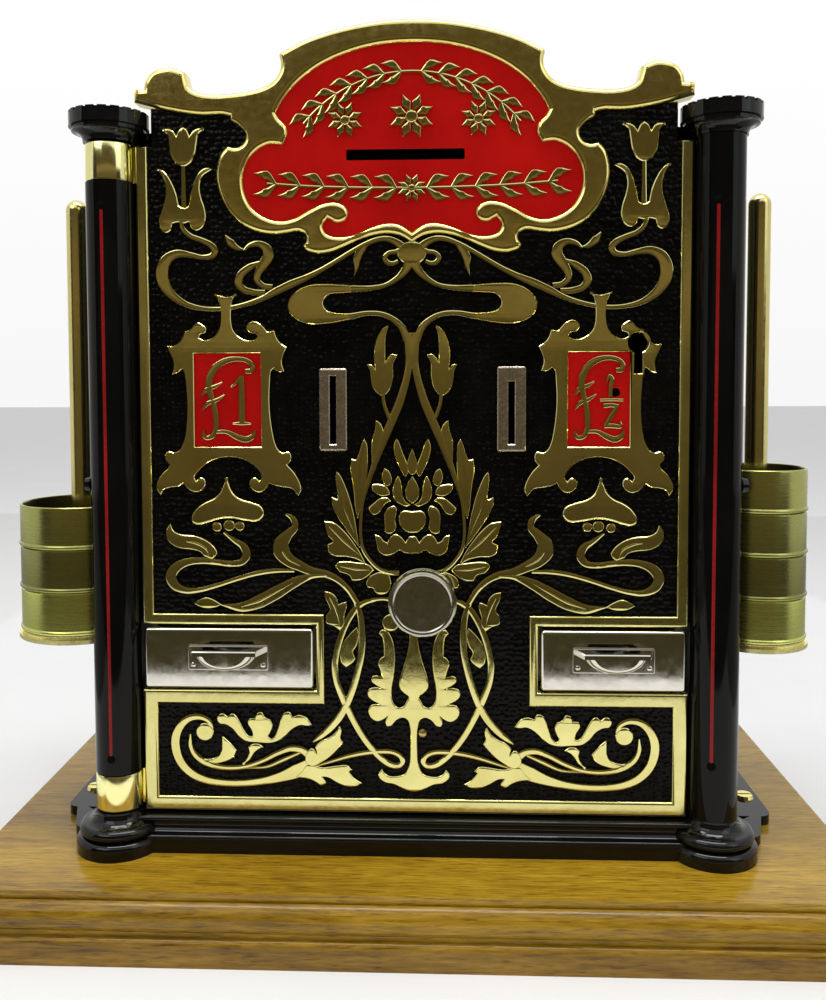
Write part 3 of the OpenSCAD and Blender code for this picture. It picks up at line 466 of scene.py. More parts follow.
class Shape:
    """Gathers raised plates and ribbons on the door, then makes one piece of them."""

    def __init__(self):
        self.verts = []
        self.faces = []
        self.lift = 0

    def rise(self):
        """A little height that differs between neighbours, so that no two tops lie level."""
        self.lift = (self.lift + 1) % 9
        return 0.02 * self.lift

    def plate(self, loops, low=GROUND, high=-0.15, bevel=0.45, steps=3, closed_back=False):
        """A flat plate with rounded edges: the first loop is its outline and the others are holes."""
        high -= self.rise()
        tops = []
        for number, loop in enumerate(loops):
            loop = np.array(loop, float)
            if number:
                loop = loop[::-1]
            levels = [(0.0, low), (0.0, high + bevel)]
            for k in range(1, steps + 1):
                turn = math.pi / 2 * k / steps
                levels.append((bevel * (1 - math.cos(turn)), high + bevel * (1 - math.sin(turn))))
            first = len(self.verts)
            count = len(loop)
            for distance, y in levels:
                moved = inset(loop, distance) if distance else loop
                self.verts += [(x, y, z) for x, z in moved]
            self.faces += quads(first, len(levels), count, rings=True)
            tops.append(first + (len(levels) - 1) * count + np.arange(count))
            if closed_back:
                self.fill([first + np.arange(count)], True)
        self.fill(tops)

    def curve(self, points, **more):
        """A plate with a smooth outline through its points."""
        self.plate([closed_curve(points)], **more)

    def fill(self, rings, away=False):
        points = [[Vector((self.verts[i][0], self.verts[i][2], 0.0)) for i in indices] for indices in rings]
        flat = np.concatenate(rings)
        for tri in tessellate_polygon(points):
            a, b, c = (int(flat[i]) for i in tri)
            pa, pb, pc = self.verts[a], self.verts[b], self.verts[c]
            area = (pb[0] - pa[0]) * (pc[2] - pa[2]) - (pc[0] - pa[0]) * (pb[2] - pa[2])
            self.faces.append((a, b, c) if (area > 0) != away else (a, c, b))

    def ribbon(self, points, widths, low=GROUND, high=-0.15, bevel=0.36, crown=0.04):
        """A stem: a smooth line with a width at each of its points."""
        high -= self.rise()
        line, counts = open_curve(points)
        spread_w = [widths] * len(points) if np.isscalar(widths) else widths
        at_points = np.concatenate([[0], np.cumsum(counts)])
        width = np.interp(np.arange(len(line)), at_points, spread_w)
        along = np.gradient(line, axis=0)
        along /= np.maximum(np.linalg.norm(along, axis=1, keepdims=True), 1e-9)
        left = np.stack([-along[:, 1], along[:, 0]], -1)
        first = len(self.verts)
        profile = 9
        for p, n, w in zip(line, left, width):
            half = max(w, 0.12) / 2
            edge = min(bevel, half * 0.8)
            section = [
                (half, low), (half, high + edge), (half - 0.3 * edge, high + 0.3 * edge),
                (half - edge, high)
            ]
            section += [(0.0, high - crown * min(1.0, half))]
            section += [(-s, y) for s, y in reversed(section[:4])]
            self.verts += [(p[0] + n[0] * s, y, p[1] + n[1] * s) for s, y in section]
        self.faces += quads(first, len(line), profile)
        last = first + (len(line) - 1) * profile
        self.faces.append(tuple(first + j for j in reversed(range(profile))))
        self.faces.append(tuple(last + j for j in range(profile)))

    def leaf(self, points, width, **more):
        """A pointed leaf along a line, widest before its middle."""
        count = len(points)
        widths = [width * math.sin(math.pi * min(1.0, 0.04 + i / (count - 1)) ** 0.8) for i in range(count)]
        self.ribbon(points, widths, **more)

    def mirror(self):
        count = len(self.verts)
        self.verts += [(-x, y, z) for x, y, z in self.verts]
        self.faces += [tuple(count + i for i in reversed(face)) for face in self.faces]

    def turned(self, profile, axis_x, axis_z, count=64):
        """A turned piece round an axis through the door: profile is radius and depth."""
        first = len(self.verts)
        for i in range(count):
            a = 2 * math.pi * i / count
            self.verts += [(axis_x + r * math.cos(a), y, axis_z + r * math.sin(a)) for r, y in profile]
        self.faces += quads(first, count, len(profile), joined=True)

    def build(self, name, material, body, slot, angle=26.0, stands_for=()):
        obj = add_object(name, [place(*v) for v in self.verts], self.faces, material)
        obj.data.validate()
        soften(obj, angle)
        flat = obj.modifiers.new("flat_faces", "WEIGHTED_NORMAL")
        flat.keep_sharp = True
        attach(obj, body, stands_for)
        return obj


# Door: core, black ground, frame and crest
RED_HALF = [
    (0, 262.8), (-12, 261.9), (-22, 259.3), (-31, 255.2), (-38.5, 249.4), (-43, 243.8), (-44.7, 240.6, 1),
    (-43.6, 238.8), (-41.4, 236.4), (-41, 233.4), (-42.6, 229.9, 1), (-47, 230.3), (-51.5, 228.2),
    (-54.8, 224), (-56, 219), (-55.3, 214), (-52.8, 209.6), (-48.6, 206.6), (-43.8, 205.4), (-39.4, 206.2),
    (-34.5, 208.8), (-29.5, 211), (-25, 211.4), (-21.6, 209.6), (-20.9, 207), (-22.4, 204.9), (-25, 204.3),
    (-27.9, 205.8, 1), (-29.4, 203.6), (-28.2, 201.1), (-24.5, 200.1), (-19, 200.8), (-14, 202.9),
    (-9, 204.3), (-5, 204.2), (-2, 202.8), (0, 201.4, 1)
]
CREST_HALF = [
    (0, 270.5), (-12, 269.8), (-25, 267.4), (-35, 264.3), (-43.4, 260.2, 1), (-43.7, 259.3, 1),
    (-43.2, 257), (-43.6, 254.2), (-45.6, 251.2), (-49, 249.2), (-54, 247.9), (-60, 247.2), (-66, 247),
    (-71, 247.8), (-73.6, 249.4), (-74.6, 252), (-75, 254.2, 1), (-77.5, 255.3), (-80.5, 256), (-86, 254.6),
    (-88.4, 251.6), (-89, 249, 1), (-92.3, 248.9, 1), (-92.3, 244.8, 1), (-88.2, 243.7, 1)
]
CREST_LOW = [
    (-80, 241.7), (-70, 240.2), (-63, 240.3), (-60.4, 239.8, 1), (-60.2, 238.4), (-57.5, 236.6),
    (-55.2, 233.6), (-56, 231), (-58.4, 229.7), (-61.3, 230.2, 1), (-63.6, 227.6), (-65, 223), (-65, 218),
    (-63.4, 212.6), (-60.2, 207.3), (-56, 203.6), (-51, 201.5), (-46, 200.7), (-41.5, 201.1),
    (-37.6, 201.6), (-35.4, 200.4), (-35.4, 198.6), (-36.6, 197, 1), (-35.4, 195.4), (-31.5, 194.2),
    (-27, 194.7), (-22, 196.6), (-17, 198.8), (-12, 200.2), (-8, 200.6), (-4, 199.9), (-1.6, 198.6),
    (0, 197.6)
]
DOOR_HALF = 92.4
DOOR_LOW = 4.5
NOTCH_LOW, NOTCH_HIGH = 46.9, 69.2
NOTCH_LEFT, NOTCH_RIGHT = -33.0, 42.4
CAPITAL_CLEAR = 87.2
CAPITAL_LOW = 230.4
CORE_HIGH = 243.0

red_loop = closed_curve(both_halves(RED_HALF))
crest_loop = closed_curve(both_halves(CREST_HALF + CREST_LOW))
SLOTS = [(-26.6, 130.9, 22.8), (33.1, 130.9, 20.8)]
slot_loops = [box_loop(x - 1, z, x + 1, z + length) for x, z, length in SLOTS]
window_loop = box_loop(-21.7, 225.0, 17.5, 228.6, 0.5)
KEY_X, KEY_Z = 74.7, 164.5
KEY_HALF, KEY_R, KEY_LOW = 1.3, 3.4, 154.3
key_round = [math.radians(a) for a in np.linspace(-67, 247, 30)]
key_loop = np.array([
    (KEY_X + KEY_HALF, KEY_LOW), (KEY_X + KEY_HALF, KEY_Z - 3.1),
    *[(KEY_X + KEY_R * math.cos(a), KEY_Z + KEY_R * math.sin(a)) for a in key_round],
    (KEY_X - KEY_HALF, KEY_Z - 3.1), (KEY_X - KEY_HALF, KEY_LOW)
])
PIN_HOLE = ring(67.5, 148.0, 1.5, count=18)
HOLES = [*slot_loops, window_loop, key_loop, PIN_HOLE]

lower_rim = [
    (-DOOR_HALF, CAPITAL_LOW), (-DOOR_HALF, NOTCH_HIGH), (NOTCH_LEFT, NOTCH_HIGH), (NOTCH_LEFT, NOTCH_LOW),
    (-DOOR_HALF, NOTCH_LOW), (-DOOR_HALF, DOOR_LOW), (DOOR_HALF, DOOR_LOW), (DOOR_HALF, NOTCH_LOW),
    (NOTCH_RIGHT, NOTCH_LOW), (NOTCH_RIGHT, NOTCH_HIGH), (DOOR_HALF, NOTCH_HIGH), (DOOR_HALF, CAPITAL_LOW)
]
upper_rim = [
    (CAPITAL_CLEAR, CAPITAL_LOW), (CAPITAL_CLEAR, CORE_HIGH), (-CAPITAL_CLEAR, CORE_HIGH),
    (-CAPITAL_CLEAR, CAPITAL_LOW)
]
door_rim = lower_rim[5:] + upper_rim + lower_rim[:5]
inner_rim = [
    (88.2, CAPITAL_LOW), (88.2, 73.1), (39.2, 73.1), (39.2, 41.9), (87.2, 41.9), (87.2, 9.7), (-87.2, 9.7),
    (-87.2, 41.9), (-30, 41.9), (-30, 73.1), (-88.2, 73.1), (-88.2, CAPITAL_LOW)
]

core = Shape()
core.plate([door_rim, *HOLES], 7.0, GROUND + 0.5, 0.2, 1, True)
core.build("door_core", FRAME_BRASS, "door", "door", stands_for=["door_plate"])

ground = Shape()
ground.plate([[
    (-86.9, 242.5), (-86.9, 230), (-90, 230), (-90, 72), (-31.5, 72), (-31.5, 43), (-89, 43), (-89, 8),
    (89, 8), (89, 43), (41, 43), (41, 72), (90, 72), (90, 230), (86.9, 230), (86.9, 242.5)
], *HOLES], GROUND + 0.5, GROUND, 0.05, 1)
ground.build("door_ground", STIPPLE, "door", "door")

border = Shape()
border.plate([lower_rim + inner_rim], GROUND + 0.5, -0.1, 1.1, 4)
border.build("door_frame", FRAME_BRASS, "door", "door")

crest = Shape()
crest.plate([crest_loop, red_loop], 6.6, -0.7, 1.9, 6, True)
crest.build("door_crest", CREST, "door", "door", 20.0)

field = Shape()
field.plate([inset(red_loop, -1.2), window_loop], 3.0, 0.9, 0.1, 1)
field.build("cartouche_field", RED, "door", "enamel", stands_for=["cartouche_enamel"])

# Hinge collars on the left column, with their lugs
COLUMN_X, COLUMN_Y, COLUMN_R = 101.0, 1.0, 8.05
COLLAR_R, COLLAR_BORE = 8.0, 3.05
COLLARS = {"low": (6.2, 19.0), "high": (218.0, 230.8)}


def lathe(name, profile, x, y, material, body, count=72, stands_for=()):
    """A turned piece round an upright axis: profile is radius and height."""
    verts = []
    for i in range(count):
        a = 2 * math.pi * i / count
        verts += [place(x + r * math.cos(a), y + r * math.sin(a), z) for r, z in profile]
    faces = [(a, d, c, b) for a, b, c, d in quads(0, count, len(profile), joined=True)]
    obj = add_object(name, verts, faces, material)
    soften(obj, 30.0)
    attach(obj, body, stands_for)
    return obj


for name, (low, high) in COLLARS.items():
    profile = [
        (COLLAR_BORE, low), (COLLAR_R - 0.8, low), (COLLAR_R - 0.2, low + 0.3), (COLLAR_R, low + 0.9),
        (COLLAR_R, high - 0.9), (COLLAR_R - 0.2, high - 0.3), (COLLAR_R - 0.8, high), (COLLAR_BORE, high),
        (COLLAR_BORE, low)
    ]
    lathe("hinge_collar_" + name, profile, -COLUMN_X, COLUMN_Y, COLLAR, "door")
    lug = Shape()
    lug.plate([box_loop(-96.0, low, -91.0, high, 0.4)], 6.4, 1.6, 0.4, 2, True)
    lug.build("hinge_lug_" + name, BRASS, "door", "door")

# Side cups: a bead at the foot, a straight wall, a rounded rim, and an inside painted dark as shade
CUP_X, CUP_Y, CUP_H = 121.7, 25.3, 15.0
CUP_LOW = {"left": 63.6, "right": 61.3}
CUP_HOLE, CUP_FLOOR, CUP_FOOT = 7.9, 1.2, 0.02
CUP_R = {"left": 21.5, "right": 17.2}
CUP_STACKS = {"left": ("low", "mid", "top"), "right": ("low", "mid", "high", "top")}
# Which painted light copy of the cup brass each level takes.
CUP_LIGHT_LEVEL = {"low": CUPS_BY_LIGHT[2], "mid": CUPS_BY_LIGHT[1], "high": CUPS_BY_LIGHT[3], "top": CUPS_BY_LIGHT[0]}
CUP_OUTSIDE = [
    (-0.9, CUP_FOOT), (-0.25, 0.12), (0.25, 0.35), (0.45, 0.7), (0.45, 1.05), (0.25, 1.45), (0.04, 1.7),
    (0.0, 2.0), (0.0, 14.15), (-0.12, 14.65), (-0.45, 14.93)
]
CUP_INSIDE = [(-0.85, 14.8), (-1.0, 14.45), (-1.0, 1.7), (-1.5, CUP_FLOOR)]
for side, names in CUP_STACKS.items():
    sign = -1 if side == "left" else 1
    for level, name in enumerate(names):
        base = CUP_LOW[side] + level * CUP_H
        profile = [(CUP_R[side] + out, base + up) for out, up in CUP_OUTSIDE + CUP_INSIDE]
        profile += [(CUP_HOLE, base + CUP_FLOOR), (CUP_HOLE, base + CUP_FOOT), profile[0]]
        node_name = "%s_cup_%s" % (side, name)
        cup = lathe(
            node_name + "_turned", profile, sign * CUP_X, CUP_Y, CUP_LIGHT_LEVEL[name], node_name, 96,
            [node_name]
        )
        # Faces of the inner wall and floor take the painted shade.
        cup.data.materials.append(CUP_INSIDE_SHADE)
        for number, face in enumerate(cup.data.polygons):
            face.material_index = 1 if number % (len(profile) - 1) >= len(CUP_OUTSIDE) + 1 else 0

# Raised ornament, most of it drawn for the left half and mirrored
tulips = Shape()
tulips.curve([
    (-83.2, 235.6, 1), (-81.2, 233.6), (-80.8, 230.5), (-80.2, 227.3), (-78.6, 224.6), (-76, 223.3),
    (-73.4, 224.6), (-71.9, 227.6), (-71.3, 231), (-70.6, 234), (-68.3, 235.7, 1), (-70.8, 236),
    (-72.6, 235.2), (-73.8, 233.6, 1), (-74.6, 235.4), (-75.8, 236.4), (-77.2, 235.6), (-78.2, 233.6, 1),
    (-79.4, 235.4), (-81.4, 236)
], high=-0.5, bevel=0.8)
tulips.curve([
    (-85, 222.7, 1), (-83, 220), (-82.1, 217), (-82.2, 213.5), (-83.3, 209.5), (-84.4, 205.5),
    (-83.8, 202.6), (-82.2, 201.5), (-80.6, 202.2), (-79.8, 204.6, 1), (-78, 205), (-76, 204.6),
    (-74.2, 205), (-73.9, 203.6), (-72, 202.2), (-69.8, 203.2), (-68.6, 206), (-68.9, 209.5), (-70, 213),
    (-70.5, 216.5), (-69.6, 220), (-66.3, 222.3, 1), (-68, 223.1), (-70.4, 222), (-72.2, 219),
    (-73.3, 215.5), (-74.3, 210.6, 1), (-75.2, 210), (-76.8, 210), (-77.6, 210.6, 1), (-78.4, 214.5),
    (-79.8, 218), (-81.6, 221), (-83.4, 222.6)
], high=-0.4, bevel=0.7)
tulips.ribbon([(-76, 224.5), (-76, 217), (-76, 209)], [1.4, 1.6, 2.0])
tulips.ribbon([
    (-77, 206), (-76.4, 203), (-74, 200.6), (-70, 199), (-67, 197.4), (-65.7, 195.6), (-66.6, 193.9),
    (-70, 193.4), (-74, 194.2), (-78.5, 194.6), (-82, 192.7), (-83.6, 189), (-83.2, 185.4), (-80.6, 181.2),
    (-76, 178), (-70, 176.4), (-63, 176.3), (-56, 177.6), (-50, 179.6), (-45, 182.1), (-40, 184.4),
    (-35, 186.5), (-30, 189), (-25, 191.9), (-20, 194.9), (-15, 197.5), (-11, 198.9), (-8, 199),
    (-5, 197.8), (-2.5, 195.8)
], [
    1.6, 1.7, 1.8, 1.9, 2.2, 2.4, 2.2, 1.7, 2.0, 2.8, 3.7, 4.3, 4.2, 3.1, 2.1, 1.6, 1.5, 1.6, 1.9, 2.6, 2.7,
    2.1, 1.7, 1.6, 1.6, 1.7, 1.8, 2.0, 2.4, 3.0
])
tulips.leaf([(-62.2, 200.6), (-60.4, 198.2), (-58.2, 196.4), (-55.2, 195.8)], 2.7)
tulips.ribbon([
    (-56, 195.6), (-54, 197.2), (-51, 197.7), (-48.4, 196.2), (-47.8, 193.8), (-49.4, 191), (-51.2, 188.2),
    (-51.6, 185.8), (-49.6, 183.8), (-46.5, 183.3)
], [0.8, 1.6, 2.2, 3.2, 3.8, 3.4, 2.6, 2.2, 2.0, 2.0])
tulips.ribbon([
    (-50.6, 191.6), (-54, 190), (-57, 187.6), (-57.9, 185), (-56.4, 182.8), (-53, 181.7), (-49, 181.6)
], [1.2, 2.4, 2.7, 2.8, 2.4, 2.2, 1.8])
tulips.mirror()
tulips.build("relief_tulips", RELIEF, "door", "door")

loops = Shape()
loops.ribbon([
    (-2.5, 196), (-5, 194.8), (-7.6, 194.4), (-9, 192.8), (-8, 191.2), (-6.2, 190.9), (-4.5, 191.6)
], [2.4, 1.7, 1.5, 1.7, 1.8, 1.6, 1.4])
loops.leaf([(-13.4, 198.4), (-16.4, 196), (-18.2, 192.6), (-18.4, 189.6), (-19.2, 186.6)], 2.9)
loops.curve([
    (-20, 183.8, 1), (-28, 184.3), (-34, 184), (-38.5, 182), (-41.2, 178.5), (-41, 175), (-38.5, 172.5),
    (-34, 171), (-28, 171.2), (-20, 172.6, 1), (-21, 174.5, 1), (-26, 174.8), (-28.5, 175.7),
    (-29.6, 177.5), (-29.2, 179.3), (-27.5, 180.8), (-24, 181.2), (-20, 181.4, 1)
], high=-0.3, bevel=0.6)
loops.ribbon([
    (-0.6, 192), (-2, 189), (-4.5, 186.3), (-8.5, 183.9), (-13, 182.9), (-20, 182.6), (-26, 182.7)
], [3.6, 2.8, 2.0, 1.5, 1.8, 2.4, 2.0])
loops.ribbon([
    (-26, 173), (-20, 173.6), (-15, 174.5), (-10, 174.2), (-6, 172.3), (-3.2, 169.5), (-1.5, 165.5)
], [2.0, 2.1, 1.7, 1.7, 2.0, 2.4, 2.8])
loops.ribbon([
    (-1.4, 168), (-1.1, 163), (-1.0, 158), (-1.7, 153.5), (-2.9, 149), (-4.3, 144.6), (-6.4, 139.6),
    (-8.8, 134), (-11, 128.5), (-13.1, 123), (-15, 117.5), (-16.6, 112), (-17.3, 106), (-17.4, 100),
    (-16.6, 95.4), (-14.4, 91.8), (-11.4, 88.9), (-8, 87.6), (-4.5, 87.4)
], [2.7, 2.6, 2.4, 2.5, 2.7, 2.9, 3.0, 2.9, 2.4, 2.0, 1.6, 1.3, 1.2, 1.2, 1.3, 1.3, 1.4, 1.6, 1.8])
loops.curve([
    (-7.6, 170.8, 1), (-8.7, 167), (-8.9, 162), (-8.9, 158.3, 1), (-7.8, 160), (-6.5, 161),
    (-4.9, 160.6, 1), (-6.2, 157.8), (-6.3, 154), (-6.9, 150.5), (-8.3, 148), (-9.8, 147), (-11.5, 147.8),
    (-13.2, 150), (-13.8, 153), (-14.1, 155.4), (-15.2, 157.7, 1), (-13.4, 157.4), (-12.3, 156, 1),
    (-12.7, 160), (-12.4, 163.5), (-11.3, 167), (-9.6, 169.5)
])
loops.ribbon([(-9.7, 148), (-9.4, 144.5), (-8.2, 141), (-7.2, 138.5)], [1.3, 1.3, 1.5, 1.4])
loops.mirror()
loops.plate([ring(0.0, 194.4, 4.9, 4.0)], high=-0.4, bevel=0.9)
loops.build("relief_loops", RELIEF, "door", "door")

fronds = Shape()
FRONDS = [
    [
        (-12.2, 139, 1), (-12.4, 136), (-13.4, 132.6), (-13.7, 129.4), (-13.6, 125.6), (-13.8, 120.6, 1),
        (-11, 127), (-9.2, 132), (-9.6, 135.4), (-10.6, 137.8)
    ],
    [
        (-16.2, 132.8, 1), (-17.2, 130.2), (-18, 127.4), (-19, 125.6), (-20.4, 126, 1), (-20.8, 122.6),
        (-20.2, 118.6), (-19.6, 114), (-19.3, 109.6), (-18.4, 105.6, 1), (-17, 110.6), (-15.6, 116),
        (-15, 121.6), (-14.9, 127), (-15.2, 131)
    ],
    [
        (-25.6, 122, 1), (-25.7, 118.4), (-25.3, 114.8), (-25.3, 112.4), (-27.2, 113.2, 1), (-27, 110.4),
        (-25.2, 106.4), (-22.6, 102.4), (-20.2, 99), (-17.6, 95.6, 1), (-18.6, 101), (-19.4, 106),
        (-20.6, 111), (-22.2, 116), (-24.2, 120.4)
    ],
    [
        (-29.7, 104.9, 1), (-29.2, 102.2), (-28.2, 99.6), (-26.8, 98), (-28.6, 97, 1), (-28.2, 94.4),
        (-26.2, 93), (-22.6, 92.8), (-19, 92), (-15.6, 90.2, 1), (-17.8, 94.6), (-20.2, 98.2), (-23.4, 102),
        (-26.4, 104.4)
    ],
    [
        (-26.1, 89.6, 1), (-24.4, 87.6), (-21.6, 86.6), (-20.4, 84.7, 1), (-17.8, 84.8), (-15.2, 86.2),
        (-13, 88.4, 1), (-15, 90.3), (-18.6, 90.9), (-22.6, 91.3), (-25.2, 90.9)
    ],
    [
        (-11.2, 87.8, 1), (-14.4, 86.2), (-15.6, 83.8), (-15, 82.3), (-13.5, 82.2), (-12.4, 80.6),
        (-10.6, 80), (-8.4, 80.8), (-7.2, 83.6), (-8, 87.2, 1)
    ],
    [
        (-29.8, 81.1, 1), (-29.4, 78.4), (-28, 74.8), (-29.2, 73, 1), (-29.2, 70.2), (-26.8, 69.2),
        (-24.6, 67.6, 1), (-23.2, 69.6), (-23.1, 72.6), (-22.3, 75.6), (-22.4, 77.6, 1), (-23.8, 77.2),
        (-25, 76.6, 1), (-25.8, 79), (-27.6, 80.6)
    ],
    [
        (-18.8, 69, 1), (-21.2, 66.6), (-23.6, 63.2), (-24.5, 59.6), (-24.2, 56.6), (-22.6, 55, 1),
        (-20.6, 56.4), (-19.4, 58, 1), (-20.2, 60.4), (-19, 62.4), (-18.2, 65.8)
    ]
]
for outline in FRONDS:
    fronds.curve(outline, high=-0.2, bevel=0.4)
VEINS = [
    [(-16.4, 130), (-17.6, 122), (-18.2, 112)], [(-25, 119.6), (-23, 110), (-19.6, 101)],
    [(-28, 103), (-23, 98), (-18, 93.6)], [(-24.4, 89.6), (-19, 88.6), (-14.4, 88.4)],
    [(-28, 79), (-25.6, 74), (-24.6, 69.6)]
]
for line in VEINS:
    fronds.leaf(line, 0.8, high=-0.45, bevel=0.2)
fronds.ribbon([
    (-42.6, 107.2), (-40.2, 105.6), (-39.6, 103), (-42, 100.4), (-44.2, 97.4), (-44.2, 94.6), (-42, 91.8),
    (-38, 89.6), (-33.5, 87.7), (-29, 86.9), (-25, 84.9), (-21.6, 81.6), (-18.8, 77.2)
], [0.8, 2.2, 2.4, 3.4, 5.2, 5.8, 4.6, 3.6, 3.0, 2.6, 2.3, 2.0, 1.9])
fronds.ribbon(
    [(-43.6, 97), (-43.9, 94.8), (-42, 92), (-38, 89.8)], [0.2, 0.6, 0.6, 0.2], high=-0.5, bevel=0.2
)
fronds.ribbon([
    (-64.8, 76.2), (-58, 75.5), (-52, 77.4), (-46, 80.6), (-40, 84), (-34, 86.2), (-29, 86.5)
], [0.6, 3.4, 4.6, 4.6, 3.6, 1.8, 1.2])
fronds.leaf([(-58, 75.6), (-52, 77.6), (-46, 80.8), (-40.5, 83.9)], 0.8, high=-0.5, bevel=0.2)
fronds.curve([
    (-74.6, 76.5, 1), (-72, 75.3), (-69, 75), (-66.6, 75.4), (-64.8, 76.2, 1), (-67.4, 77.8), (-70, 78.7),
    (-72.4, 78)
])
fronds.ribbon([
    (-12.6, 78.2), (-16, 77.4), (-18.6, 75.8), (-21.2, 72.4), (-23.6, 67.6), (-25.4, 62), (-26.4, 56),
    (-25.9, 50.6), (-24.2, 45.6), (-22.2, 41), (-20, 36.4), (-17.4, 31.8), (-14.4, 27.6), (-11, 23.9),
    (-7.6, 21.6), (-4.8, 21.3), (-3.5, 22.8), (-4.4, 24.6), (-7, 25.9), (-11, 26.1), (-16, 25.6),
    (-22, 24.3), (-28, 22.4), (-33.5, 20.6)
], [
    1.2, 1.8, 2.2, 2.2, 2.2, 2.2, 2.2, 2.2, 2.4, 2.4, 2.2, 2.2, 2.2, 2.2, 2.2, 2.0, 1.8, 1.8, 1.8, 1.8, 1.8,
    1.6, 1.3, 0.8
])
fronds.ribbon([
    (-19, 77.2), (-17.6, 72.6), (-17.1, 66.6), (-17.4, 60), (-18.6, 54), (-20.3, 48), (-22.6, 42.2),
    (-25.2, 37.6), (-28.6, 33.6), (-31.6, 31), (-34, 29.2)
], [1.9, 2.2, 2.3, 2.3, 2.3, 2.4, 2.5, 2.6, 2.4, 2.0, 0.8])
fronds.plate([ring(-7.4, 70.4, 2.9)], high=-0.2)
fronds.ribbon([(-6, 78), (-10, 78.6), (-14, 78.2)], [1.4, 1.2, 1.4])
fronds.mirror()
fronds.build("relief_fronds", RELIEF, "door", "door")

lotus = Shape()
PETALS = [
    [
        (-5.3, 133.2, 1), (-6.2, 130), (-5.5, 126), (-4, 122.5), (-2.4, 120), (-1.3, 121.6), (-1.8, 124.6),
        (-3, 127.6), (-4.2, 131)
    ],
    [
        (-4.8, 120.4, 1), (-6.2, 117.6), (-6.6, 114.6), (-5.8, 112), (-4, 110.6), (-2, 109.9),
        (-0.5, 110.5, 1), (-2.2, 111.6), (-3.2, 113.6), (-3.5, 116.6), (-4.1, 119)
    ],
    [
        (-9.3, 122.8, 1), (-10.2, 120.6), (-9.9, 118.4), (-8.4, 116.7), (-6.9, 118.2), (-7.1, 120.2),
        (-8, 122)
    ],
    [
        (-13.5, 117.4, 1), (-13.5, 115.8), (-12.2, 114.2), (-10, 113.4), (-7.6, 113.9, 1), (-7.8, 115.2),
        (-9, 116.8), (-11.5, 117.5)
    ],
    [
        (-14.7, 109.4, 1), (-14.1, 107.8), (-12.8, 107), (-11.4, 107.6), (-10.4, 108.9), (-9.2, 110.7),
        (-7.2, 111.8, 1), (-8.6, 113), (-11, 112.6), (-13, 111)
    ],
    [
        (-6, 110.1), (-8, 109.5), (-9.3, 107.4), (-9.3, 103.4), (-8.9, 101), (-7, 100.8), (-5.5, 102.6),
        (-5.8, 105.6), (-5.2, 108.8)
    ]
]
for outline in PETALS:
    lotus.curve(outline, high=-0.2, bevel=0.4)
lotus.mirror()
CENTRE = [
    [(0, 129.8, 1), (-1.2, 126.4), (-1.7, 124), (-0.9, 121), (0, 120.6)],
    [(0, 120.3, 1), (-1.7, 117.4), (-2.4, 114.6), (-1.7, 112.3), (0, 110.9, 1)],
    [(0, 108.3), (-3.4, 108.3), (-4.5, 106.6), (-4, 103.4), (-2, 101.4), (0, 101)],
    [
        (0, 99.9), (-1, 99.8), (-2.3, 97.8, 1), (-4, 99.8), (-5.8, 100.6), (-7.2, 99.8), (-8.5, 97.7, 1),
        (-9.8, 98.4), (-10.8, 99.8), (-12.6, 100.4, 1), (-12, 97), (-11.3, 94.6), (-9, 93.2), (-6, 94),
        (-4.4, 95.1), (-2.8, 94.2), (0, 93.8)
    ]
]
for outline in CENTRE:
    lotus.curve(both_halves(outline), high=-0.25, bevel=0.4)
lotus.build("relief_lotus", RELIEF, "door", "door")

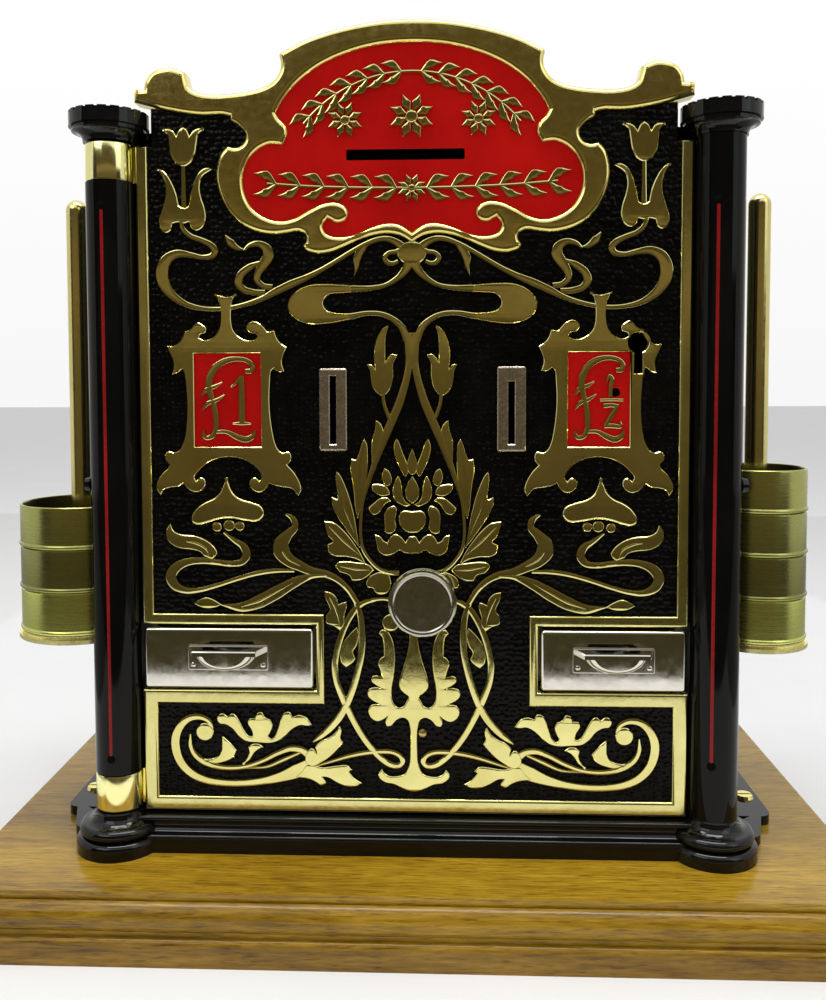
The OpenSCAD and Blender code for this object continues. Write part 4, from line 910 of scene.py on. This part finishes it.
# Value frames with their red panels
ESCUTCHEON = [
    (-66.4, 181.3, 1), (-65.2, 180), (-64.3, 177.6), (-64, 174), (-64.3, 170.6), (-65.2, 168.4),
    (-67, 166.6), (-69.4, 165.8), (-71.4, 166.6, 1), (-71, 167.7), (-69.3, 168.3), (-69, 169.9),
    (-70.2, 171), (-71.8, 171.8), (-73.2, 170.6), (-74.6, 169.3), (-76.4, 168.8, 1), (-77, 166.8),
    (-78.4, 164.9), (-80.4, 163.9), (-82.4, 164, 1), (-81.6, 161.8), (-80.5, 159.4), (-80.2, 157),
    (-80.8, 154.3, 1), (-78.6, 155), (-77.2, 156.2), (-76.5, 154), (-76, 149), (-75.8, 144), (-76, 138.6),
    (-76.6, 134), (-77.5, 130.8), (-79, 128.6), (-80.6, 128.1, 1), (-82.4, 128.5), (-83.5, 127.3),
    (-83.3, 125.5), (-82.1, 124, 1), (-82.6, 122.8), (-84.8, 120.6), (-86.2, 118.2), (-86.6, 116.2),
    (-85.2, 113.4, 1), (-84.2, 115.3), (-82, 116.1), (-79.2, 116.5), (-77.5, 117.6, 1), (-76.6, 116.4),
    (-74.8, 115), (-72.6, 114.6), (-70.8, 115.6), (-69.8, 117.5), (-70.3, 119.2), (-71.6, 119.6),
    (-73, 118.4, 1), (-73.6, 119.8), (-72.2, 121.8), (-69.6, 124.2), (-66, 125.9), (-62, 126.5),
    (-57.8, 126), (-54.2, 124.3), (-51.8, 122), (-50.8, 119.8), (-51.6, 118.4, 1), (-52.8, 119.6),
    (-54.2, 119.3), (-55, 117.8), (-54.2, 115.8), (-52.2, 114.6), (-50.4, 114.9), (-49, 116.3),
    (-48.2, 117.8, 1), (-46.8, 117), (-43.4, 116.3), (-40.4, 115.7), (-38.4, 113.3, 1), (-37.4, 115.4),
    (-37.9, 118), (-39.8, 121.4), (-42.1, 123.9, 1), (-41, 125), (-40.7, 126.8), (-41.4, 128.3),
    (-43.6, 128, 1), (-45, 129), (-46.2, 131.6), (-47, 135.4), (-47.7, 141), (-47.9, 146), (-47.7, 151),
    (-47.2, 155.4), (-46.4, 156.3, 1), (-44.6, 155.1), (-42.8, 155.3, 1), (-43.6, 158.4), (-43, 161),
    (-41.9, 163.4, 1), (-44, 164.8), (-45.3, 166.6), (-46, 168.9, 1), (-48.2, 168.6), (-49.4, 169.8),
    (-50.9, 171.3), (-53, 172.1), (-54.9, 171.3), (-55.4, 169.8), (-54.4, 168.3), (-52.4, 167.9, 1),
    (-51.8, 166.8), (-53, 165.8), (-55.6, 165.8), (-58, 167), (-59.7, 168.8), (-60.4, 171), (-60.6, 174.4),
    (-60.3, 177.8), (-59.6, 180), (-58.2, 181.1, 1), (-62, 180.2)
]
left_frame = closed_curve(ESCUTCHEON)
right_frame = np.stack([-left_frame[:, 0], left_frame[:, 1]], -1)[::-1]
LEFT_PANEL = (-73.3, 130.0, -50.8, 161.4)
RIGHT_PANEL = (51.7, 130.0, 72.0, 161.4)
PANEL_TUCK = 0.5
frames = Shape()
frames.plate([left_frame, box_loop(*LEFT_PANEL)], high=-0.35, bevel=0.5)
frames.plate([right_frame, box_loop(*RIGHT_PANEL), key_loop], high=-0.35, bevel=0.5)
frames.build("value_frames", RELIEF, "door", "door")
panels = Shape()
for (x0, z0, x1, z1), holes in ((LEFT_PANEL, []), (RIGHT_PANEL, [PIN_HOLE])):
    under_frame = box_loop(x0 - PANEL_TUCK, z0 - PANEL_TUCK, x1 + PANEL_TUCK, z1 + PANEL_TUCK)
    panels.plate([under_frame, *holes], GROUND, 0.5, 0.1, 1)
panels.build("value_panels", RED, "door", "enamel", stands_for=["value_enamels"])

# Value marks: strokes with their widths, the currency sign as it stands on the right panel
POUND_X = 61.8
POUND = [
    ([
        (67.4, 155.4), (69.2, 155.6), (69.6, 157.2), (67.9, 158.9), (64.6, 159.5), (61.2, 158.8),
        (58.3, 156.8), (56.5, 153.6), (56.2, 150), (56.9, 146.4), (57.8, 142.6), (58.2, 138.8), (58, 135.8),
        (56.8, 133.5), (55, 133), (54.1, 134.4), (54.6, 135.6)
    ], [1.5, 1.9, 1.7, 1.6, 1.7, 2.1, 2.4, 2.5, 2.2, 2.0, 1.9, 1.9, 1.8, 1.7, 1.4, 1.2, 0.6]),
    ([(58, 135), (61.4, 135), (64.6, 133.3), (67.3, 132.5), (69.3, 133.5), (70.2, 135.6)],
     [1.2, 1.4, 2.0, 2.2, 1.8, 0.6]),
    ([(53.7, 147), (55.3, 149.2), (58.2, 150.4), (60.2, 151.7)], [0.5, 1.5, 1.3, 0.5]),
    ([(53.9, 142.4), (55.7, 144.6), (58.6, 145.8), (60.9, 147.5)], [0.5, 1.5, 1.3, 0.5])
]
FIGURES = [
    ([(-57.3, 153.8), (-57.2, 146), (-57.2, 138)], [1.8, 2.2, 2.2]),
    ([(-60.8, 150), (-58.8, 151.8), (-57.2, 153.8)], [0.6, 1.1, 1.4]),
    ([(-60.3, 137.8), (-57.2, 137.9), (-54.2, 137.8)], [0.7, 1.4, 0.7]),
    ([(64.3, 151.6), (65.3, 153.4), (66.1, 152.4), (65.8, 150), (65.6, 146.6)], [0.6, 1.4, 1.6, 1.4, 1.4]),
    ([(62.2, 145.5), (66, 145.6), (69.8, 145.5)], 1.0),
    ([(63.4, 143.6), (65.8, 143.8), (68.3, 143.5)], [1.6, 1.4, 1.4]),
    ([(67.9, 143.4), (66.2, 140.8), (64.1, 137.2)], [1.4, 1.7, 1.5]),
    ([(63.6, 136.9), (66.4, 137), (69, 136.8), (68.8, 138.6)], [1.5, 1.6, 1.4, 0.6])
]
marks = Shape()
for middle, scale in ((-62.0, 1.1), (POUND_X, 1.0)):
    for points, widths in POUND:
        moved = [(middle + (x - POUND_X) * scale, z) for x, z in points]
        marks.ribbon(moved, widths, 0.6, -0.3, 0.3)
for points, widths in FIGURES:
    marks.ribbon(points, widths, 0.6, -0.3, 0.3)
marks.build("value_marks", RELIEF, "door", "door")

# Toadstools with winding stems
stools = Shape()
stools.curve([
    (-62.5, 120.2, 1), (-63.8, 117.4), (-64.9, 114.9), (-67, 112.8), (-70.4, 111.2), (-73.4, 108.9),
    (-74.9, 106.2), (-74.5, 104.2), (-72.8, 103.4), (-69.6, 104), (-65.8, 105.2), (-62, 105.7),
    (-57.4, 105), (-53, 104.5), (-51, 105.4), (-50, 107.6), (-51, 110), (-54, 111.3), (-58, 112.5),
    (-60.5, 114.5), (-61.8, 117.4)
], high=-0.5, bevel=0.9, steps=4)
for x, z, r in ((-66.2, 102.8, 1.6), (-62, 103.3, 1.9), (-58.4, 103.1, 1.6)):
    stools.plate([ring(x, z, r)], high=-0.1, bevel=0.4)
stools.ribbon([
    (-63.8, 101), (-60.4, 98.4), (-57.2, 96.2), (-56.2, 93.4), (-57.8, 91), (-61.4, 90.3), (-66, 90.8),
    (-71, 91.3), (-76, 90.9), (-80, 89.2), (-82.1, 86.2), (-81, 83), (-77.6, 81.2), (-73, 81.2),
    (-67, 82.7), (-60, 85), (-53, 87), (-46.5, 88), (-40, 88)
], [0.9, 1.7, 2.7, 3.0, 2.5, 2.1, 2.1, 2.3, 2.6, 3.4, 3.8, 3.3, 2.4, 1.8, 1.6, 1.6, 1.7, 1.7, 1.2])
stools.curve([
    (-82.1, 104, 1), (-83.5, 101.6), (-83.5, 99.2), (-82, 97), (-79, 95.5), (-75, 95), (-72, 94.2),
    (-70.8, 92.9, 1), (-68, 91.8, 1), (-66.2, 93.8), (-67.2, 96), (-70, 98.3), (-74, 99.8), (-78.4, 100.2),
    (-80.9, 101.4)
], high=-0.2)
stools.leaf([(-76.6, 97.8), (-73, 97.2), (-70, 95.4), (-68.9, 93.2)], 0.9, high=-0.5, bevel=0.2)
stools.mirror()
stools.build("relief_toadstools", RELIEF, "door", "door")

# Fleuron below the knob
AXIS = 0.35
fleuron = Shape()


def about_axis(half):
    return [(q[0] + AXIS, *q[1:]) for q in both_halves(half)]


fleuron.curve(about_axis([
    (0, 69), (-1.2, 68.3), (-1.5, 64), (-2.6, 58.5), (-4, 54), (-4.9, 50.5), (-4.8, 48), (-3.4, 46.3),
    (-1.9, 45.2), (-1.6, 43.6), (0, 43.4)
]), high=-0.45, bevel=0.6)
fleuron.curve(about_axis([
    (0, 45), (-1.8, 44.6), (-3.4, 42), (-5.2, 41.4), (-6.8, 42.8), (-7.5, 45.6), (-7.3, 49), (-6.6, 53),
    (-6.3, 57), (-6.5, 61.5), (-7.3, 65), (-8.9, 67.6), (-10.8, 68.1), (-11.9, 66.7, 1), (-10.7, 65.4),
    (-10.2, 62.5), (-10.1, 59, 1), (-11.2, 58.3), (-12.1, 56.4), (-11.4, 54), (-10.7, 51.8, 1),
    (-12.4, 52.4), (-14.1, 52), (-14.4, 50.3), (-12.8, 48.9), (-11, 48.1, 1), (-13.4, 48.3), (-15.4, 47.5),
    (-15.7, 45.4), (-14.3, 43.8), (-11.9, 42.6, 1), (-14.4, 42.2), (-15.5, 40.4), (-14.9, 38),
    (-12.6, 36.5), (-10.3, 37.2), (-8.9, 38.4, 1), (-9.7, 36.6), (-9.3, 34.9), (-7.7, 35), (-5.8, 37),
    (-3.8, 37.8), (-2.2, 37), (-1.4, 34.6), (-1.15, 31), (-1.2, 27), (-1.4, 23), (-2, 20.4), (-3.2, 18.5),
    (-5.4, 17.7), (-7.9, 17.6), (-9.8, 18.5), (-10.9, 20.1, 1), (-12.1, 18.4), (-11.8, 16.8), (-9.8, 15.3),
    (-6.8, 14.7), (-4.2, 13.5), (-1.8, 12.6), (0, 12.3)
]), high=-0.3, bevel=0.5)
fleuron.build("relief_fleuron", RELIEF, "door", "door")

# Scrolls of the lowest panel
scrolls = Shape()
scrolls.plate([ring(-71.2, 32.2, 3.1)], high=-0.3, bevel=0.6)
scrolls.ribbon([
    (-68.6, 33.4), (-69.8, 36), (-73, 37.4), (-76.8, 36.8), (-79.8, 34), (-81.4, 29.6), (-81, 24.8),
    (-79, 20.6), (-75.6, 17.4), (-71, 15.4), (-65, 14.5), (-58, 14.5), (-51, 15.4), (-45, 16.9),
    (-40, 18.8), (-35.5, 21)
], [1.4, 1.8, 2.1, 2.4, 2.7, 2.9, 3.0, 3.0, 2.8, 2.6, 2.4, 2.4, 2.6, 3.6, 5.0, 4.6])
scrolls.ribbon([
    (-76.2, 31.4), (-76.2, 27.6), (-74.8, 24.4), (-72, 22), (-68, 20.4), (-63, 19.8), (-57, 20.4),
    (-51, 22.6), (-46, 25.2), (-41.6, 26.7), (-38, 26.3), (-35.4, 24.4)
], [0.4, 1.5, 2.0, 2.2, 2.0, 1.8, 1.7, 1.7, 1.9, 2.2, 2.4, 2.6])
scrolls.ribbon([(-57.5, 19.8), (-50, 20.4), (-44, 23), (-38.6, 25.4)], [0.6, 1.3, 1.6, 1.2])
scrolls.curve([
    (-65.4, 31.1, 1), (-65.4, 28), (-65.6, 25.6), (-67.2, 23.6), (-70, 22.8), (-72, 22.9, 1), (-68.6, 21.2),
    (-64.4, 21.9), (-61.5, 23.5), (-60.3, 25.9, 1), (-62.4, 28.4)
])
scrolls.curve([
    (-56.4, 27, 1), (-56, 25), (-57, 23), (-58.6, 20.7, 1), (-56, 22.6), (-54.4, 25), (-53, 26.2),
    (-51, 27.1, 1), (-53, 28.3), (-55, 28.1)
])
scrolls.curve([
    (-66.9, 36.4), (-66, 35.2), (-64, 34.9), (-61.6, 33.4), (-59.6, 31), (-57, 29.2), (-53, 28.8),
    (-49, 28.6), (-46, 29.4), (-43.4, 31.4), (-41, 33.6), (-38.4, 34.9), (-36, 34.7), (-34.3, 35, 1),
    (-36.2, 37.6), (-38.8, 38.5), (-41, 37.8, 1), (-42, 39.5), (-43.9, 39.1), (-45, 37), (-45.9, 34),
    (-46.9, 31.6), (-48.3, 30.1), (-49.3, 31), (-48.5, 32.6), (-47.8, 34.9), (-48.6, 36.8, 1),
    (-50.4, 37.6), (-51.5, 39.3), (-53.1, 39), (-54, 37.2, 1), (-55.8, 37), (-56.4, 35.4), (-55.1, 33),
    (-54.8, 31), (-56.2, 31.2), (-57.6, 33.1), (-58.9, 35.6), (-60.2, 37.8), (-61.6, 38.8),
    (-63.3, 37.7, 1), (-65, 38.8), (-66.6, 38)
], high=-0.3)
scrolls.curve([
    (-25, 35.3, 1), (-26.2, 32.8), (-28.6, 30.8), (-31, 29.7), (-33.1, 27.8), (-32.8, 25.4, 1), (-34.4, 27),
    (-36.4, 25.2), (-36.6, 22), (-34.4, 20.6), (-31, 22.3), (-28, 24.4), (-25.4, 27), (-23.7, 29.1, 1),
    (-24.6, 30.6), (-24.2, 33)
], high=-0.25)
scrolls.curve([
    (-36, 21.4), (-38, 19), (-40, 16.9), (-37, 16.5), (-34, 15.6), (-31.4, 13.9, 1), (-29.7, 15),
    (-30.9, 17, 1), (-28.8, 16.7), (-26, 15.1), (-22.6, 13.8), (-19.4, 13.9), (-17.3, 15.1, 1),
    (-19.8, 16.6), (-21.8, 18.9, 1), (-20.7, 19.6, 1), (-22.5, 21.2), (-26, 21), (-31, 20.4)
], high=-0.35)
scrolls.mirror()
scrolls.build("relief_scrolls", RELIEF, "door", "door")

# Leaf sprays on the red field
spray = Shape()
SPRAY = {"low": 1.0, "high": -0.1, "bevel": 0.3}
ARC_X, ARC_Z, ARC_R = 0.0, 207.0, 46.5
STEM_HALF, STEM_Z, STEM_RISE = 48.0, 215.6, 1.8


def on_arc(angle, radius):
    a = math.radians(angle)
    return (ARC_X + radius * math.sin(a), ARC_Z + radius * math.cos(a))


def leaf_pair(spine, ahead, length, width):
    """Two leaves from a point of a stem, leaning along it."""
    for side in (1, -1):
        out = np.array((-ahead[1], ahead[0])) * side
        points = [
            spine, spine + ahead * length * 0.42 + out * length * 0.36,
            spine + ahead * length * 0.9 + out * length * 0.42
        ]
        spray.leaf([tuple(p) for p in points], width, **SPRAY)


spray.ribbon([on_arc(a, ARC_R) for a in range(-50, 51, 5)], 0.9, **SPRAY)
for a in range(4, 50, 7):
    for sign in (-1, 1):
        angle = math.radians(sign * a)
        spine = np.array(on_arc(sign * a, ARC_R))
        along = sign * np.array((math.cos(angle), -math.sin(angle)))
        leaf_pair(spine, along, 7.4, 3.0)
spray.ribbon([
    (-STEM_HALF, STEM_Z + STEM_RISE), (-30, 216.2), (0, STEM_Z), (30, 216.2),
    (STEM_HALF, STEM_Z + STEM_RISE)
], 1.0, **SPRAY)
for x in range(5, 46, 8):
    for sign in (-1, 1):
        spine = np.array((sign * x, STEM_Z + STEM_RISE * (x / STEM_HALF) ** 2))
        leaf_pair(spine, np.array((sign * 1.0, 0.04)), 8.2, 3.2)
for x, z, size in ((-22.0, 238.0, 1.0), (0.0, 239.0, 1.25), (22.0, 238.0, 1.0), (0.0, STEM_Z, 0.8)):
    spray.plate([ring(x, z, 1.7 * size)], 1.0, -0.3, 0.7)
    for k in range(8):
        angle = math.radians(45 * k + 22.5)
        toward = np.array((math.cos(angle), math.sin(angle)))
        petal = [tuple(np.array((x, z)) + toward * r * size) for r in (1.7, 3.6, 6.0)]
        spray.leaf(petal, 2.7 * size, **SPRAY)
spray.build("cartouche_sprays", RELIEF, "door", "door")

# Slot bezels, rivet and knob
bezels = Shape()
BEZEL_LOOPS = [box_loop(-31.2, 128.5, -21.9, 156.3, 0.8), box_loop(28.3, 128.3, 37.9, 156.8, 0.8)]
for loop, hole in zip(BEZEL_LOOPS, slot_loops):
    bezels.plate([loop, hole], GROUND, 0.2, 0.7, 3)
bezels.build("slot_plates", BEZEL, "door", "nickel", stands_for=["slot_bezels"])
rivet = Shape()
rivet.turned([(1.5, GROUND), (1.5, 0.2), (1.2, -0.35), (0.7, -0.62), (0.0, -0.7)], 3.3, 32.5, 20)
rivet.build("door_rivet", SCREW_BRASS, "door", "door")

KNOB_X, KNOB_Z = 3.5, 79.6
knob = Shape()
knob.turned([
    (3.5, -6.3), (4.5, -6.3), (4.5, -6.7), (9.4, -6.8), (10.6, -7.1), (11.1, -7.7), (11.1, -8.4),
    (10.6, -8.8), (10.6, -9.0), (11.2, -9.5), (11.2, -10.3), (10.9, -10.9), (10.3, -11.1), (9.7, -11.0),
    (9.3, -10.7), (8.9, -10.6), (5.35, -10.62), (5.1, -10.67), (4.85, -10.62), (0.0, -10.66)
], KNOB_X, KNOB_Z)
knob.build("knob_button", DIMMED_KNOB_NICKEL, "plunger", "nickel", stands_for=["push_knob"])

# Drawer fronts and cup pulls
FRONTS = {"left": (-91.4, -33.8), "right": (43.2, 91.3)}
FRONT_LOW, FRONT_HIGH = 47.75, 68.25
LIP_Z = 61.3
BOWL_ROWS = 29
BOWL = [
    (9.9, -1.4), (9.9, -4.4), (9.75, -5.6), (9.3, -6.7), (8.6, -7.5), (7.9, -7.85), (7.3, -7.95),
    (6.9, -7.97), (0.0, -8.0)
]


def pull(side, x):
    """A half bowl under a flat lip, on a thin plate with two rivets."""
    shape = Shape()
    shape.plate([box_loop(x - 13.6, LIP_Z - 7.2, x + 13.6, LIP_Z + 1.4, 0.6)], -1.0, -1.45, 0.2, 2, True)
    for offset in (-11.9, 11.9):
        shape.turned([(0.9, -1.4), (0.8, -1.7), (0.4, -1.95), (0.0, -2.0)], x + offset, LIP_Z - 5.4, 14)
    first = len(shape.verts)
    for i in range(BOWL_ROWS):
        a = math.pi + math.pi * i / (BOWL_ROWS - 1)
        shape.verts += [(x + r * math.cos(a), y, LIP_Z - 0.4 + 0.57 * r * math.sin(a)) for r, y in BOWL]
    shape.faces += quads(first, BOWL_ROWS, len(BOWL))
    lip = [(-13.4, -1.8), (-10.7, -8.4), (10.7, -8.4), (13.4, -1.8)]
    hollow = [(-8.6, -2.6), (-7.4, -6.6), (7.4, -6.6), (8.6, -2.6)]
    first = len(shape.verts)
    rounded = [(px * 0.975, py * 0.97) for px, py in lip]
    levels = [
        (lip, LIP_Z - 0.6), (lip, LIP_Z + 0.75), (rounded, LIP_Z + 1.1), (hollow, LIP_Z + 1.1),
        (hollow, LIP_Z - 1.6)
    ]
    for outline, z in levels:
        shape.verts += [(x + px, py, z) for px, py in outline]
    shape.faces += quads(first, len(levels), len(lip), rings=True)
    shape.build(side + "_cup_pull", NICKEL, side + "_drawer", "nickel", 30.0, [side + "_pull"])


for side, (x0, x1) in FRONTS.items():
    front = Shape()
    front.plate([box_loop(x0, FRONT_LOW, x1, FRONT_HIGH, 1.2)], 1.5, -1.0, 0.9, 4, True)
    front.build(side + "_drawer_front", NICKEL, side + "_drawer", "nickel", stands_for=[side + "_front"])
    pull(side, (x0 + x1) / 2)

# Red lines on the columns, their red darkened as painted groove shade, with a dark dot at each end as
# painted shade of a drilled hole
LINE_TURN = {"left": -3.0, "right": -19.0}
LINE_LOW, LINE_HIGH, LINE_ROWS = 25.0, 209.5, 41
LINE_HALF_ANGLE = 3.8
LINE_RISE = (0.0, 0.08, 0.08, 0.08, 0.0)
DOT_RINGS = ((1.5, 0.0), (1.1, 0.12), (0.0, 0.12))
DOT_SIDES = 16


def on_column(x, angle, rise, z):
    r = COLUMN_R + rise
    return (x + r * math.cos(angle), COLUMN_Y + r * math.sin(angle), z)


for side, turn in LINE_TURN.items():
    x = -COLUMN_X if side == "left" else COLUMN_X
    line = Shape()
    for z in np.linspace(LINE_LOW, LINE_HIGH, LINE_ROWS):
        for j, rise in enumerate(LINE_RISE):
            angle = math.radians(-90 + turn + LINE_HALF_ANGLE * (j - 2) / 2)
            line.verts.append(on_column(x, angle, rise, z))
    line.faces += quads(0, LINE_ROWS, len(LINE_RISE))
    line.build(side + "_red_line", GROOVE_SHADED_RED, "cabinet", "column")
    # Dark discs at the line's ends: painted shade standing in for drilled holes.
    ends = Shape()
    for z in (LINE_LOW, LINE_HIGH):
        first = len(ends.verts)
        for reach, rise in DOT_RINGS:
            for k in range(DOT_SIDES):
                around = 2 * math.pi * k / DOT_SIDES
                angle = math.radians(-90 + turn) + reach * math.cos(around) / COLUMN_R
                ends.verts.append(on_column(x, angle, rise, z + reach * math.sin(around)))
        ends.faces += quads(first, len(DOT_RINGS), DOT_SIDES, rings=True)
    ends.build(side + "_line_hole_shades", HOLE_SHADE_BLACK, "cabinet", "column")

# Plunger spring: a coil between the stop and the bridge
spring = Shape()
TURNS, COIL_R, WIRE = 8, 5.0, 0.55
SPRING_Y0, SPRING_Y1 = 18.95, 33.7
WIRE_SIDES = 8
stations = TURNS * 20
for i in range(stations + 1):
    t = i / stations
    a = 2 * math.pi * TURNS * t
    y = SPRING_Y0 + WIRE + (SPRING_Y1 - SPRING_Y0 - 2 * WIRE) * t
    for k in range(WIRE_SIDES):
        b = 2 * math.pi * k / WIRE_SIDES
        r = COIL_R + WIRE * math.cos(b)
        spring.verts.append((KNOB_X + r * math.cos(a), y + WIRE * math.sin(b), KNOB_Z + r * math.sin(a)))
spring.faces += quads(0, stations + 1, WIRE_SIDES, rings=True)
coil = spring.build("plunger_coil", STEEL, "plunger", "steel", stands_for=["plunger_spring"])
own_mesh(coil)

# Floor
FLOOR = 6.0
floor_material, tree, shader = new_material("pale_floor")
shade = noise(tree, coordinates(tree), 14.0, 3.0)
feed(tree, shader, {
    "Base Color": ramp(tree, shade, [(0.2, (0.86, 0.86, 0.86)), (0.8, (0.90, 0.90, 0.90))]),
    "Roughness": 0.6
})
floor_corners = [(-FLOOR, -FLOOR, 0), (FLOOR, -FLOOR, 0), (FLOOR, FLOOR, 0), (-FLOOR, FLOOR, 0)]
floor = add_object("floor", floor_corners, [(0, 1, 2, 3)], floor_material)
floor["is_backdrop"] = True

# Sheets for the reflections
CARD_LIFT = 0.002
PALE = (1.0, 0.97, 0.92)
WARM = (1.0, 0.74, 0.36)
UMBER = (1.0, 0.83, 0.32)


def card(name, corners, brightness, colour):
    """A sheet that only reflections see: a part of the table, the floor or the walls of a room."""
    material, tree, shader = new_material(name)
    feed(tree, shader, {
        "Base Color": (0.0, 0.0, 0.0, 1.0),
        "Specular IOR Level": 0.0,
        "Emission Color": (*colour, 1.0),
        "Emission Strength": brightness
    })
    obj = add_object(name, corners, [(0, 1, 2, 3)], material)
    obj.visible_camera = False
    obj.visible_diffuse = False
    obj.visible_shadow = False
    obj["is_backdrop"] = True


def upright_card(name, a, b, z0, z1, brightness, colour=PALE):
    card(name, [(*a, z0), (*b, z0), (*b, z1), (*a, z1)], brightness, colour)


def floor_card(name, x0, y0, x1, y1, brightness, colour=PALE):
    z = CARD_LIFT
    card(name, [(x0, y0, z), (x1, y0, z), (x1, y1, z), (x0, y1, z)], brightness, colour)


ROOM = 1.3
TABLE_FRONT, TABLE_SIDE = -0.30, 0.32
floor_card("table", -TABLE_SIDE, TABLE_FRONT, TABLE_SIDE, -0.08, 1.05)
floor_card("near_floor", -ROOM, -0.5, ROOM, TABLE_FRONT, 0.05, UMBER)
floor_card("front_floor", -ROOM, -ROOM, ROOM, -0.5, 0.075, WARM)
floor_card("left_floor", -ROOM, TABLE_FRONT, -TABLE_SIDE, 0.9, 0.35)
floor_card("right_floor", TABLE_SIDE, TABLE_FRONT, ROOM, 0.9, 0.35)
upright_card("front_low", (-ROOM, -ROOM), (ROOM, -ROOM), 0.0, 0.24, 0.10, WARM)
upright_card("front_mid", (-ROOM, -ROOM), (ROOM, -ROOM), 0.24, 0.42, 0.2, WARM)
upright_card("front_high", (-ROOM, -ROOM), (ROOM, -ROOM), 0.42, 1.0, 0.075, WARM)
for side in (-1, 1):
    upright_card("side_front_%d" % side, (side * ROOM, -ROOM), (side * ROOM, -0.62), 0.0, 1.0, 0.03)
    upright_card("side_back_%d" % side, (side * ROOM, -0.52), (side * ROOM, 0.9), 0.0, 1.0, 0.7)

# Light
WORLD_LIGHT = 0.6
world = bpy.data.worlds.new("studio")
bpy.context.scene.world = world
world.use_nodes = True
tree = world.node_tree
direction = node(tree, "ShaderNodeTexCoord", {})
axes = node(tree, "ShaderNodeSeparateXYZ", {"Vector": direction["Generated"]})
sky = ramp(tree, axes["Z"], [(0.0, (0.93, 0.93, 0.93)), (0.3, WHITE)])
seen = node(tree, "ShaderNodeLightPath", {})
rays = {0: seen["Is Camera Ray"], 1: seen["Is Glossy Ray"]}
shown = node(tree, "ShaderNodeMath", rays, operation="MAXIMUM")
strength = spread(tree, shown["Value"], WORLD_LIGHT, 1.0, 0.0, 1.0)
feed(tree, tree.nodes["Background"], {"Color": sky, "Strength": strength})


def area_light(name, at, target, size, power, colour=WHITE):
    data = bpy.data.lights.new(name, "AREA")
    data.shape = "RECTANGLE"
    data.size, data.size_y = size
    data.energy = power
    data.color = colour
    lamp = bpy.data.objects.new(name, data)
    bpy.context.scene.collection.objects.link(lamp)
    lamp.location = at
    lamp.rotation_euler = (Vector(target) - Vector(at)).to_track_quat("-Z", "Y").to_euler()


area_light("key", (-0.75, -0.85, 1.05), (0.0, 0.0, 0.16), (0.8, 0.6), 2.4, (1.0, 0.98, 0.95))
area_light("fill", (0.95, -0.7, 0.75), (0.0, 0.0, 0.15), (0.5, 0.9), 1.6, (0.95, 0.98, 1.0))
area_light("top", (0.0, -0.15, 1.2), (0.0, 0.0, 0.1), (1.0, 0.22), 7.5)

# Camera
FOCAL_PX, LONG_SIDE_PX, SENSOR_MM = 950.0, 1000.0, 36.0
CAMERA_AT = (0.0096, -0.3668, 0.1808)
YAW, PITCH, ROLL = math.radians(2.17), math.radians(2.86), math.radians(-0.15)
camera_data = bpy.data.cameras.new("camera")
camera_data.sensor_width = SENSOR_MM
camera_data.lens = SENSOR_MM * FOCAL_PX / LONG_SIDE_PX
camera_data.shift_x = 0.0080
camera_data.shift_y = -0.0728
camera_data.clip_start = 0.01
camera = bpy.data.objects.new("camera", camera_data)
bpy.context.scene.collection.objects.link(camera)
ahead = Vector((-math.sin(YAW) * math.cos(PITCH), math.cos(YAW) * math.cos(PITCH), -math.sin(PITCH)))
right = Vector((math.cos(YAW), math.sin(YAW), 0.0))
up = right.cross(ahead)
right, up = (math.cos(ROLL) * right + math.sin(ROLL) * up, math.cos(ROLL) * up - math.sin(ROLL) * right)
turn = Matrix((right, up, -ahead)).transposed()
camera.matrix_world = Matrix.Translation(CAMERA_AT) @ turn.to_4x4()
bpy.context.scene.camera = camera
bpy.context.scene.view_settings.view_transform = "Standard"

low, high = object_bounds()
